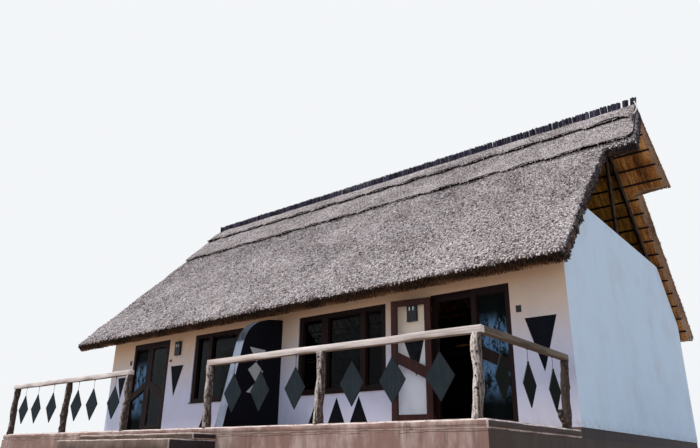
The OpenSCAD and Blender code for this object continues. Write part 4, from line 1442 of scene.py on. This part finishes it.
@dataclass
class Veranda:
    """Worn edges of the floor and the steps, the rails, the crooked log posts and the hangers."""
    plinth: Material
    step: Material
    rail: Material
    side_rail: Material
    bark: Material
    wire: Material
    post_height: float = 0.86
    post_radius: float = 0.06
    rail_y: Pair = (-2.61, -2.53)
    rail_z: Pair = (1.61, 1.69)
    side_rail_x: Pair = (5.53, 5.61)
    front_y: float = -2.57
    side_x: float = 5.57
    left_posts: tuple = ((-4.66, 0.0, 1, 0.3), (-2.68, 0.0, 2, 0.25), (-0.795, 0.005, 3, 0.5))
    right_posts: tuple = ((1.24, 0.03, 5, 0.55), (3.37, -0.02, 6, 0.6), (5.53, -0.04, 7, 1.0))
    treads: tuple[Pair, ...] = ((-4.0, 0.1933), (-3.7, 0.3867), (-3.4, 0.58), (-3.03, 0.665))
    diamond_top: float = 1.46
    front_diamonds: tuple[float, ...] = (-4.284, -3.789, -3.215, -2.341, -1.832, -1.172, 1.773, 2.305,
                                         2.944, 3.867, 4.450, 5.076)
    side_diamonds: tuple[float, ...] = (-2.104, -1.405, -0.659)

    def build(self) -> None:
        """All of its pieces."""
        self.topping()
        self.steps()
        self.rails()
        self.posts("rail_posts_left", self.left_posts)
        self.posts("rail_posts_right", self.right_posts, True)
        self.hangers()

    def topping(self) -> None:
        """The veranda's floor with a worn, rounded nosing."""
        shape, edge = rounded_box(*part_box("veranda_topping"), 0.022, 0.10, wear=0.014, seed=3)
        piece = make_piece("veranda_floor", shape, self.plinth, values={"edge": edge})
        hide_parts("veranda_topping")

    def steps(self) -> None:
        """One worn slab for each tread, from its front to the veranda."""
        low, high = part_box("front_steps")
        levels = [0.0] + [top for _, top in self.treads]
        corners = [((low.x, front, foot), (high.x, high.y, top))
                   for foot, (front, top) in zip(levels, self.treads)]
        shape, edge = boxes(corners, 0.018, 0.10, wear=0.012)
        piece = make_piece("worn_steps", shape, self.step, values={"edge": edge})
        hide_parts("front_steps")

    def rails(self) -> None:
        """Square rails with softened edges and a slight bow; the side rail takes a darker finish, a painted
        shade.
        """
        (y0, y1), (z0, z1), (x0, x1) = self.rail_y, self.rail_z, self.side_rail_x
        runs = [((-4.8, y0, z0), (-0.73, y1, z1)), ((1.20, y0, z0), (x1, y1, z1))]
        (points, faces), edge = boxes(runs, 0.007, 0.09, wear=0.005)
        x = points[:, 0]
        bow = np.stack([x * 0, 0.004 * ripple(x, x, wave=1.6, seed=81),
                        0.004 * ripple(x, x, wave=1.3, seed=83) - 0.002], -1)
        piece = make_piece("front_rails", (points + bow, faces), self.rail,
                           values={"edge": edge})
        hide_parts("top_rails")
        shape, edge = rounded_box((x0, -2.527, z0), (x1, -0.18, z1), 0.007, 0.09, wear=0.005, seed=5)
        make_piece("side_rail", shape, self.side_rail, values={"edge": edge})

    def log(self, lean: float, seed: int) -> tuple[Array, Array, Array]:
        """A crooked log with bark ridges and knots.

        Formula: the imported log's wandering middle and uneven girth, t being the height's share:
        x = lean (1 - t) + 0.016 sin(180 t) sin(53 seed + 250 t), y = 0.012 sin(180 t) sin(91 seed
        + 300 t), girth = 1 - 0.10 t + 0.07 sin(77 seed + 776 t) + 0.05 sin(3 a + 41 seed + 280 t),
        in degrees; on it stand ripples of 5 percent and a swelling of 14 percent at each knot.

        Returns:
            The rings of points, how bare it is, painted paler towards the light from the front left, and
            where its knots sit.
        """
        draw = np.random.default_rng(700 + seed)
        rings, sides = 72, 36
        t = np.linspace(0, 1, rings)[:, None]
        a = np.linspace(0, 2 * np.pi, sides + 1)[:-1][None, :]
        turn = np.radians
        fade = np.sin(np.pi * t)
        girth = (1 - 0.10 * t + 0.07 * np.sin(turn(seed * 77 + 776 * t))
                 + 0.05 * np.sin(3 * a + turn(seed * 41 + 280 * t)))
        knots = np.zeros((rings, sides))
        for height, way in zip(draw.uniform(0.03, 0.97, 15), draw.uniform(-2.9, 1.0, 15)):
            off = np.abs((a - way + np.pi) % (2 * np.pi) - np.pi) * self.post_radius
            knots = np.maximum(knots, np.exp(-(off ** 2 + ((t - height) * self.post_height) ** 2)
                                             / draw.uniform(0.009, 0.020) ** 2))
        ridges = ripple(np.cos(a) * 0.3 + 0 * t, np.sin(a) * 0.3 + t * 0.9, wave=0.14, seed=740 + seed)
        radius = self.post_radius * girth * (0.96 + 0.05 * ridges + 0.14 * knots * (knots < 0.75))
        x = lean * (1 - t) + fade * 0.016 * np.sin(turn(seed * 53 + t * 250)) + radius * np.cos(a)
        y = fade * 0.012 * np.sin(turn(seed * 91 + t * 300)) + radius * np.sin(a)
        # Painted light: paler on the side towards the light from the front left, at 215 degrees.
        bare_and_lit = np.clip(0.5 + 0.5 * np.cos(a - np.radians(215)) + 0.3 * ridges, 0, 1)
        return np.stack([x, y, DECK + self.post_height * t + 0 * x], -1), bare_and_lit, knots > 0.55

    def posts(self, node: str, places: tuple, side_post: bool = False) -> None:
        """The posts of one run.

        Args:
            node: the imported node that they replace.
            places: each post's x, lean of its foot, seed and share of bare wood.
            side_post: whether the post of the side rail, with its branch stub, stands with them.
        """
        parts, bare_and_lit_values, knot = [], [], []
        for x, lean, seed, bare in places:
            rings, bare_and_lit, knots = self.log(lean, seed)
            parts.append(closed_tube(rings + np.array([x, self.front_y, 0])))
            bare_and_lit_values.append(np.append((bare * (0.2 + 0.8 * bare_and_lit)).ravel(), [bare, bare]))
            knot.append(np.append(knots.ravel(), [0, 0]))
        if side_post:
            rings, bare_and_lit, knots = self.log(0.15, 9)
            turned = rings[..., [1, 0, 2]] * np.array([1, -1, 1])
            parts.append(closed_tube(turned + np.array([self.side_x, -0.24, 0])))
            bare_and_lit_values.append(np.append(0.1 * bare_and_lit.ravel(), [0, 0]))
            knot.append(np.append(knots.ravel(), [0, 0]))
            stub = np.array([[0, -0.38, 0.82], [0.005, -0.46, 0.85], [0, -0.53, 0.90], [0.005, -0.57, 0.955]])
            stub[:, 0] += self.side_x
            sides = 12
            parts.append(rod_along(stub, np.array([0.056, 0.050, 0.046, 0.036]), sides))
            bare_and_lit_values.append(np.full(len(parts[-1][0]), 0.1))
            knot.append(np.append(np.repeat([0, 0, 0, 0.8], sides), [0, 1]))
        piece = make_piece(node + "_logs", joined(parts), self.bark,
                           values={"bare_and_lit": np.concatenate(bare_and_lit_values), "knot": np.concatenate(knot)})
        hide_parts(node)

    def hangers(self) -> None:
        """A ring through the top of each diamond and a screw eye under the rail above it."""
        parts = []
        places = [((x, self.front_y), (1.0, 0, 0)) for x in self.front_diamonds]
        places += [((self.side_x, y), (0, 1.0, 0)) for y in self.side_diamonds]
        rail = self.rail_z[0]
        for (x, y), along in places:
            across = np.array([along[1], along[0], 0])
            parts.append(eye_ring(np.array([x, y, self.diamond_top - 0.020]), 0.014, 0.0022, across))
            parts.append(eye_ring(np.array([x, y, rail - 0.014]), 0.011, 0.0025, along))
            parts.append(rod_along(np.array([[x, y, rail - 0.004], [x, y, rail + 0.004]]), 0.009, 10))
        make_piece("diamond_hangers", joined(parts), self.wire)


# Doors, windows and walls


@dataclass
class Joinery:
    """Glazing beads round every pane, lever handles on the leaves, and weather bars under the windows."""
    wood: Material
    door_wood: Material
    metal: Material
    bead: float = 0.016
    window_beads: tuple = ((0.057, 0.077), (0.086, 0.106))
    side_beads: tuple = ((0.030, 0.053), (0.062, 0.085))
    leaf_beads: tuple = ((0.003, 0.018), (0.027, 0.042))
    leaf: float = 0.045
    window_x: float = 0.53
    sill: tuple = ((-0.02, -0.025, 1.425), (2.01, 0.03, 1.447))
    lights: tuple[Pair, ...] = ((0.10, 0.55), (0.70, 1.44), (1.55, 1.89))
    window_z: Pair = (1.515, 2.775)
    leaf_x: Pair = (3.528, 4.041)
    leaf_z: Pair = (1.003, 2.734)
    side_x: Pair = (4.211, 4.69)
    side_z: Pair = (0.90, 2.74)
    rake_z: float = 1.90
    rake_fall: float = 0.27
    rake_depth: float = 0.15
    pin: Pair = (3.432, -0.012)
    handle_x: float = 4.063
    handle_z: float = 1.80

    def build(self) -> None:
        """The fixed beads and bars, then what rides on each leaf."""
        start = np.array([self.window_x, 0, 0])
        fixed = [rounded_box(start + self.sill[0], start + self.sill[1], 0.005, 0.5)[0]]
        z0, z1 = self.window_z
        for x0, x1 in np.array(self.lights) + self.window_x:
            fixed += self.beads([(x0, z0), (x1, z0), (x1, z1), (x0, z1)], self.window_beads)
        for corners in self.raked(self.side_x[0], self.side_x[1], self.side_z):
            fixed += self.beads(corners, self.side_beads)
        make_piece("glazing_beads", joined(fixed + [mirrored(part) for part in fixed]), self.wood,
                   smooth=False)
        moving = []
        for corners in self.raked(self.leaf_x[1], self.leaf_x[0], self.leaf_z):
            moving += self.beads(corners, self.leaf_beads)
        beads, handle = joined(moving), self.handle()
        for word, body, place in (("right", Body.RIGHT_DOOR, self.opened),
                                  ("left", Body.LEFT_DOOR, mirrored)):
            make_piece(f"{word}_door_beads", place(beads), self.door_wood, body, smooth=False)
            make_piece(f"{word}_door_handle", place(handle), self.metal, body, smooth=False)

    def beads(self, corners: list[Pair], planes: tuple) -> list[Solid]:
        """The beads before and behind one pane, each between two depths along Y."""
        return [bead_ring(corners, self.bead, front, back) for front, back in planes]

    def raked(self, x_high: float, x_low: float, z: Pair) -> list[list[Pair]]:
        """Outlines of the panes below and above a raked rail that is highest at x_high."""
        fall = self.rake_fall * abs(x_low - x_high) / (self.leaf_x[1] - self.leaf_x[0])
        half = self.rake_depth / 2
        high, low = self.rake_z, self.rake_z - fall
        panes = [[(x_high, z[0]), (x_low, z[0]), (x_low, low - half), (x_high, high - half)],
                 [(x_high, high + half), (x_low, low + half), (x_low, z[1]), (x_high, z[1])]]
        return panes if x_high < x_low else [pane[::-1] for pane in panes]

    def opened(self, part: Solid, angle: float = 171.0) -> Solid:
        """A piece of the closed right leaf, turned outwards about the hinge pins."""
        c, s = math.cos(math.radians(-angle)), math.sin(math.radians(-angle))
        points, faces = part
        x, y = points[:, 0] - self.pin[0], points[:, 1] - self.pin[1]
        return np.stack([self.pin[0] + c * x - s * y, self.pin[1] + s * x + c * y, points[:, 2]], -1), faces

    def handle(self) -> Solid:
        """Plates and bent levers on both faces of the closed leaf.

        Formula: the lever's path leaves the plate square, turns through a quarter circle of 14 mm
        and runs 85 mm back over the stile.
        """
        parts = []
        quarter = np.linspace(0, np.pi / 2, 6)
        round_off, neck = 0.014, 0.026
        bend = np.stack([-round_off * (1 - np.cos(quarter)), neck + round_off * np.sin(quarter),
                         quarter * 0], -1)
        for face, out in ((0.0, -1), (self.leaf, 1)):
            y = sorted((face, face + out * 0.006))
            parts.append(rounded_box((self.handle_x - 0.013, y[0], self.handle_z - 0.09),
                                     (self.handle_x + 0.013, y[1], self.handle_z + 0.07), 0.0025, 0.05)[0])
            path = np.concatenate([[[0, 0.0, 0]], bend, [[-0.05, 0.041, 0], [-0.085, 0.039, -0.002]]])
            path = path * np.array([1, out, 1]) + np.array([self.handle_x, face, self.handle_z])
            parts.append(rod_along(path, np.linspace(0.0085, 0.0065, len(path)), 10))
        return joined(parts)


@dataclass
class WallTrim:
    """What is painted or screwed on the walls: navy shapes, the dressed wing wall, lamps and plates."""
    navy: Material
    rose: Material
    metal: Material
    lens: Material
    switch: Material
    proud: float = 0.0015
    sunk: float = 0.0005
    wing_half: float = 0.10
    lamp_x: float = 3.07
    case: tuple = ((0.092, 0.054, 2.473, 2.767, 0.008), (0.095, 0.060, 2.752, 2.770, 0.004),
                   (0.095, 0.060, 2.470, 2.486, 0.004))

    def build(self) -> None:
        """Shapes on the front walls, on the wing wall, then lamps and plates."""
        self.wall_shapes()
        self.wing_faces()
        self.lamps()
        self.plates()

    def wall_shapes(self) -> None:
        """Triangles that point down beside the doors and up under the windows."""
        down = [[(-5.31, 1.37), (-5.14, 0.87), (-5.0, 1.38)], [(4.97, 1.54), (5.20, 0.77), (5.44, 1.54)]]
        beside = [[(2.85, 1.50), (3.11, 0.85), (3.29, 1.50)]]
        up = [[(x - 0.222, 0.10), (x + 0.222, 0.10), (x, 0.61)] for x in (1.03, 1.48, 1.96)]
        raised = [[(x, z + DECK) for x, z in shape] for shape in down + beside + up]
        parts = [wall_plate(shape, -self.proud, self.sunk) for shape in raised]
        parts += [mirrored(part) for part in parts[len(down):]]
        make_piece("painted_triangles", joined(parts), self.navy, smooth=False)

    def wing_faces(self) -> None:
        """Navy on both faces of the wing wall, with rose grey figures.

        Formula: the front edge runs from the foot (-1.31, 0) to the shoulder (-0.97, 1.5) and on
        along the Bezier curve with controls (-0.868, 1.95) and (-0.553, 2.06) to (0, 2.1).
        """
        s = np.linspace(0, 1, 9)[:-1, None]
        low = np.array([-1.31, 0.0]) * (1 - s) + np.array([-0.97, 1.5]) * s
        t = np.linspace(0, 0.985, 15)[:, None]
        knots = np.array([[-0.97, 1.5], [-0.868, 1.95], [-0.553, 2.06], [0.0, 2.1]])
        curve = ((1 - t) ** 3 * knots[0] + 3 * (1 - t) ** 2 * t * knots[1] + 3 * (1 - t) * t ** 2 * knots[2]
                 + t ** 3 * knots[3])
        edge = np.concatenate([low, curve])
        y = edge[:, :1] * np.linspace(1, 0, 6)[None, :]
        z = np.broadcast_to(edge[:, 1:] + DECK, y.shape)
        sheets, figures = [], []
        shapes = [[(-0.80, 1.49), (-0.62, 1.25), (-0.40, 1.48)],
                  [(-0.81, 1.09), (-0.61, 0.89), (-0.44, 1.09), (-0.63, 1.24)],
                  [(-0.82, 0.70), (-0.48, 0.69), (-0.64, 0.86)]]
        for side in (-1, 1):
            faces = [np.stack([np.full(y.shape, side * (self.wing_half + out)), y, z], -1)
                     for out in (self.proud, -self.sunk)]
            order = slice(None) if side < 0 else slice(None, None, -1)
            sheets.append(slab(faces[0][order], faces[1][order]))
            for shape in shapes:
                turned = np.array(shape)[::side]
                loops = [np.stack([np.full(len(shape), side * (self.wing_half + out)), turned[:, 0],
                                   turned[:, 1] + DECK], -1) for out in (2 * self.proud, 0)]
                figures.append(prism(*loops))
        make_piece("wing_wall_paint", joined(sheets), self.navy, smooth=False)
        make_piece("wing_wall_figures", joined(figures), self.rose, smooth=False)

    def lamps(self) -> None:
        """Bulkhead lamps: a black case with a lip, and two narrow milky lenses near the top."""
        cases, lenses = [], []
        for x in (-self.lamp_x, self.lamp_x):
            for half, deep, low, high, radius in self.case:
                cases.append(rounded_box((x - half, -deep, low), (x + half, 0, high), radius, 0.08)[0])
            for off in (x - 0.035, x + 0.035):
                lenses.append(rounded_box((off - 0.010, -0.058, 2.648), (off + 0.010, -0.05, 2.712),
                                          0.003, 0.03)[0])
        piece = make_piece("wall_lamp_cases", joined(cases), self.metal)
        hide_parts("wall_lamps")
        make_piece("wall_lamp_lenses", joined(lenses), self.lens)

    def plates(self) -> None:
        """Bare number plates beside the doors, and a small switch box."""
        corners = [((x - 0.041, -0.008, 2.39), (x + 0.041, 0.001, 2.49)) for x in (-4.853, 4.891)]
        make_piece("number_plates", boxes(corners, 0.003, 0.05)[0], self.metal)
        box, _ = rounded_box((-3.345, -0.022, 2.350), (-3.287, 0.001, 2.398), 0.004, 0.03)
        make_piece("switch_box", box, self.switch)


# Light and camera


@dataclass(frozen=True)
class Studio:
    """Pale floor, soft high light from the front left, pale world, and the photograph's camera."""
    eye: Triple = (8.651, -8.549, 0.315)
    yaw: float = math.radians(39.03)
    tilt: float = math.radians(20.68)
    roll: float = math.radians(0.814)
    focal_px: float = 633.04
    image_px: float = 700.0
    light_way: Triple = (-0.40, -0.24, 0.885)
    light: float = 2.8
    light_spread: float = math.radians(5)
    sky: Colour = (0.46, 0.56, 0.76)
    backdrop: Colour = (0.90, 0.92, 0.94)
    ground: Colour = (0.44, 0.37, 0.30)
    disc: Colour = (0.80, 0.81, 0.82)
    disc_radius: float = 90.0
    disc_z: float = -0.002

    def build(self) -> None:
        """All of it, and the plain colour transform."""
        bpy.context.scene.view_settings.view_transform = "Standard"
        self.camera()
        self.lamp()
        self.world()
        self.floor()

    def camera(self) -> None:
        """Looks along F = (-sin yaw cos tilt, cos yaw cos tilt, sin tilt), rolled about F."""
        ahead = Vector((-math.sin(self.yaw) * math.cos(self.tilt),
                        math.cos(self.yaw) * math.cos(self.tilt), math.sin(self.tilt)))
        right = Vector((math.cos(self.yaw), math.sin(self.yaw), 0))
        up = right.cross(ahead)
        c, s = math.cos(self.roll), math.sin(self.roll)
        right, up = c * right + s * up, c * up - s * right
        data = bpy.data.cameras.new("camera")
        data.sensor_width = 36.0
        data.lens = self.focal_px / self.image_px * data.sensor_width
        data.clip_end = 300.0
        camera = put_in("camera", data)
        turned = Matrix((right, up, -ahead)).transposed().to_4x4()
        camera.matrix_world = Matrix.Translation(self.eye) @ turned
        bpy.context.scene.camera = camera

    def lamp(self) -> None:
        """A soft sun."""
        data = bpy.data.lights.new("high_light", "SUN")
        data.energy = self.light
        data.angle = self.light_spread
        data.color = (1.0, 0.965, 0.92)
        lamp = put_in("high_light", data)
        lamp.rotation_mode = "QUATERNION"
        lamp.rotation_quaternion = Vector(self.light_way).to_track_quat("Z", "Y")

    def seen(self, net: Net) -> Socket:
        """1 for rays of the camera, of gloss and of glass."""
        path = net.node("LightPath").outputs
        glossy = net.math("MAXIMUM", path["Is Camera Ray"], path["Is Glossy Ray"])
        return net.math("MAXIMUM", glossy, path["Is Transmission Ray"])

    def world(self) -> None:
        """A cool even sky for the light, a pale backdrop for the eye."""
        world = bpy.data.worlds.new("studio")
        bpy.context.scene.world = world
        world.use_nodes = True
        net = Net(world.node_tree)
        colour = net.mix(self.seen(net), self.sky, self.backdrop)
        back = net.node("Background", {"Color": colour, "Strength": 1.0})
        out = net.node("OutputWorld")
        net.tree.links.new(back.outputs[0], out.inputs[0])

    def floor(self) -> None:
        """A wide pale disc just under the ground line, duller and warmer for bounced light."""
        material, net = new_material("studio_floor")
        net.surface(net.mix(self.seen(net), self.ground, self.disc), 0.95, specular_ior_level=0.1)
        sides = 96
        turn = np.linspace(0, 2 * np.pi, sides + 1)[:-1]
        points = np.stack([self.disc_radius * np.cos(turn), self.disc_radius * np.sin(turn),
                           np.full(sides, self.disc_z)], -1)
        mesh = bpy.data.meshes.new("studio_floor")
        mesh.from_pydata(points.tolist(), [], [list(range(sides))])
        mesh.materials.append(material)
        put_in("studio_floor", mesh)


@dataclass
class Palette:
    """Every finish, built once."""
    effects: Effects

    def __post_init__(self) -> None:
        """Builds the materials."""
        grey = {"dark": tint(84, 72, 68), "mid": tint(212, 199, 192), "light": tint(252, 243, 236)}
        brown = {"dark": tint(50, 30, 15), "mid": tint(168, 108, 54), "light": tint(240, 178, 106)}
        eave = {"dark": tint(20, 14, 12), "mid": tint(104, 75, 52), "light": tint(180, 140, 100)}
        # verge: dark bluish ends, the painted sky-lit shade of the front slope's ends.
        verge = {"dark": tint(26, 23, 28), "mid": tint(104, 96, 99), "light": tint(212, 202, 198)}
        rear = {"dark": tint(70, 50, 37), "mid": tint(158, 124, 96), "light": tint(206, 176, 146)}
        tilt = math.pi / 4
        sides = (("front", -tilt), ("back", tilt))
        self.straw = [self.made(Straw(f"weathered_reed_{word}", turn=turn, **grey)) for word, turn in sides]
        self.straw_under = [self.made(Straw(f"golden_reed_{word}", turn=turn, relief=0.012, bands=0.24,
                                            **brown)) for word, turn in sides]
        self.straw_cut = [self.made(Straw("cut_reed_front", **eave)),
                          self.made(Straw("cut_reed_back", **rear))]
        self.straw_end = [self.made(Straw("end_reed_front_painted_shade", **verge)), self.straw_cut[1]]
        self.ledge = self.made(Straw("ledge_shade", tint(12, 10, 10), tint(28, 24, 24), tint(50, 45, 44)))
        self.stake = self.made(Straw("ridge_stakes", tint(24, 21, 30), tint(58, 53, 68),
                                     tint(120, 112, 126)))
        self.twine = self.made(Paint("pale_twine", tint(226, 216, 202), tint(186, 176, 164), 0.8))
        self.limewash = self.made(Limewash())
        # Near black for the cross wall and the back wall's inner face: painted shade of the rooms.
        self.inner_wash_painted_shade = self.made(Limewash("inner_limewash_painted_shade", tint(14, 13, 13), tint(11, 10, 11),
                                             tint(12, 11, 12), tint(9, 8, 9), tint(8, 7, 7)))
        self.back_wash = self.made(Limewash("back_limewash", dim=-1.0))
        edge = tint(150, 160, 172)
        self.wing_wash = self.made(Limewash("wing_edge", tint(7, 10, 20), edge, edge, tint(84, 92, 104),
                                            fade=(2.30, 2.36), runs=0.8, clouds=0.6))
        # The last colour of each cement is the painted shade of faces to the right.
        self.plinth = self.made(OxideCement(
            "oxide_plinth", tint(152, 118, 104), tint(212, 186, 172), tint(84, 60, 52), tint(240, 220, 206),
            tint(48, 35, 27)))
        self.step = self.made(OxideCement(
            "step_cement", tint(112, 92, 78), tint(152, 132, 118), tint(56, 42, 36), tint(214, 192, 174),
            tint(36, 25, 27)))
        self.joinery = self.made(Timber("mahogany_frame", tint(17, 7, 6), tint(36, 15, 12), gloss=0.62,
                                        relief=0.0008))
        self.door_wood = self.made(Timber("mahogany_door", tint(40, 20, 17), tint(74, 40, 33), gloss=0.55,
                                          sheen=0.05, relief=0.0008))
        self.pole = self.made(Timber("roof_pole", tint(28, 20, 17), tint(82, 66, 54), turn=(tilt, 0, 0),
                                     gloss=0.7))
        self.lath = self.made(Timber("roof_lath", tint(14, 9, 6), tint(38, 26, 18),
                                     turn=(0, math.pi / 2, 0), gloss=0.75))
        # The rails take a painted shade on their undersides.
        self.rail = self.made(Timber("bleached_rail", tint(206, 186, 172), tint(252, 238, 226),
                                     turn=(0, math.pi / 2, 0), gloss=0.75, relief=0.003, shade=0.85))
        # The side rail's finish is a darker copy of the rail's: painted shade for the face away from the
        # light.
        self.side_rail = self.made(Timber("bleached_side_rail", tint(64, 55, 44), tint(128, 112, 92),
                                          turn=(math.pi / 2, 0, 0), gloss=0.75, relief=0.003, shade=0.8))
        self.post = self.made(Bark())
        # The side diamonds get a painted shade on faces to the right.
        self.plate = self.made(Paint("slate_plate", tint(44, 51, 54), tint(58, 66, 69), 0.7, stretch=6.0,
                                     shine=0.03, right=tint(10, 13, 8), right_shade_share=0.95))
        self.metal = self.made(Paint("black_metal", tint(20, 20, 22), tint(40, 40, 42), 0.42, 0.2))
        self.navy = self.made(Paint("navy_paint", tint(7, 9, 18), tint(14, 17, 28), 0.75, shine=0.12))
        self.rose = self.made(Paint("rose_grey_paint", tint(186, 192, 184), tint(200, 204, 198), 0.7,
                                    shine=0.2))
        self.switch = self.made(Paint("red_brown_switch", tint(92, 44, 36), tint(116, 66, 56), 0.5))
        # The window glass's blue-grey tint also darkens the rooms behind it, a painted shade.
        self.glass = self.made(Glass("clear_glass", (0.30, 0.37, 0.44)))
        self.gable_glass = self.made(Glass("gable_glass", (0.60, 0.60, 0.46), 1.0))
        # The sidelight's blue and dark patches are a painted reflection.
        self.side_glass_painted_reflection = self.made(Glass("side_glass_painted_reflection", (0.30, 0.54, 0.78), 1.06, 0.6, patchy=True))
        self.door_glass = self.made(Glass("door_glass", (0.95, 0.97, 0.98), 1.10))
        self.lens = self.made(Lens())

    def made(self, finish: Finish) -> Material:
        """One finish's material."""
        return finish.build(self.effects)

    def dress(self) -> None:
        """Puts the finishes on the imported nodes."""
        chosen = {
            self.limewash: ("front_wall_left_end", "front_wall_right_end", "front_wall_centre",
                            "left_door_lintel", "right_door_lintel", "left_gable_wall", "right_gable_wall"),
            self.back_wash: ("back_wall",),
            self.inner_wash_painted_shade: ("cross_wall",),
            self.wing_wash: ("wing_wall",),
            self.plinth: ("house_plinth", "veranda_plinth", "veranda_topping"),
            self.step: ("front_steps", "floor_slab"),
            self.pole: ("rafters_front", "rafters_back", "left_gable_frame", "right_gable_frame",
                        "ridge_pole", "wall_plates"),
            self.lath: ("laths_front", "laths_back"),
            self.joinery: ("left_door_frame", "right_door_frame", "left_door_leaf", "left_window_frame",
                           "right_window_frame"),
            self.door_wood: ("right_door_leaf",),
            self.glass: ("window_glass", "left_door_glass"),
            self.gable_glass: ("gable_glass",),
            self.side_glass_painted_reflection: ("sidelight_glass",),
            self.door_glass: ("right_door_glass",),
            self.metal: ("door_hinges", "wall_lamps"),
            self.plate: ("diamonds_left", "diamonds_right"),
            self.rail: ("top_rails",),
            self.post: ("rail_posts_left", "rail_posts_right"),
            self.straw[0]: ("thatch_front", "ridge_cap"),
            self.straw[1]: ("thatch_back",),
            self.stake: ("ridge_comb",),
        }
        for material, nodes in chosen.items():
            for node in nodes:
                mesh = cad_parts[node].data
                mesh.materials.clear()
                mesh.materials.append(material)
        LOG.info("dressed %d packed nodes", sum(len(nodes) for nodes in chosen.values()))


def main() -> None:
    """Builds the light, the finishes and every added piece."""
    logging.basicConfig(level=logging.INFO, format="%(name)s: %(message)s")
    Studio().build()
    look = Palette(Effects())
    look.dress()
    thatch = Thatch(look.straw, look.straw_under, look.straw_cut, look.straw_end)
    thatch.build()
    RidgeCap(thatch, look.straw[0], look.ledge, look.stake, look.twine).build()
    Veranda(look.plinth, look.step, look.rail, look.side_rail, look.post, look.metal).build()
    Joinery(look.joinery, look.door_wood, look.metal).build()
    WallTrim(look.navy, look.rose, look.metal, look.lens, look.switch).build()


if __name__ == "__main__":
    main()
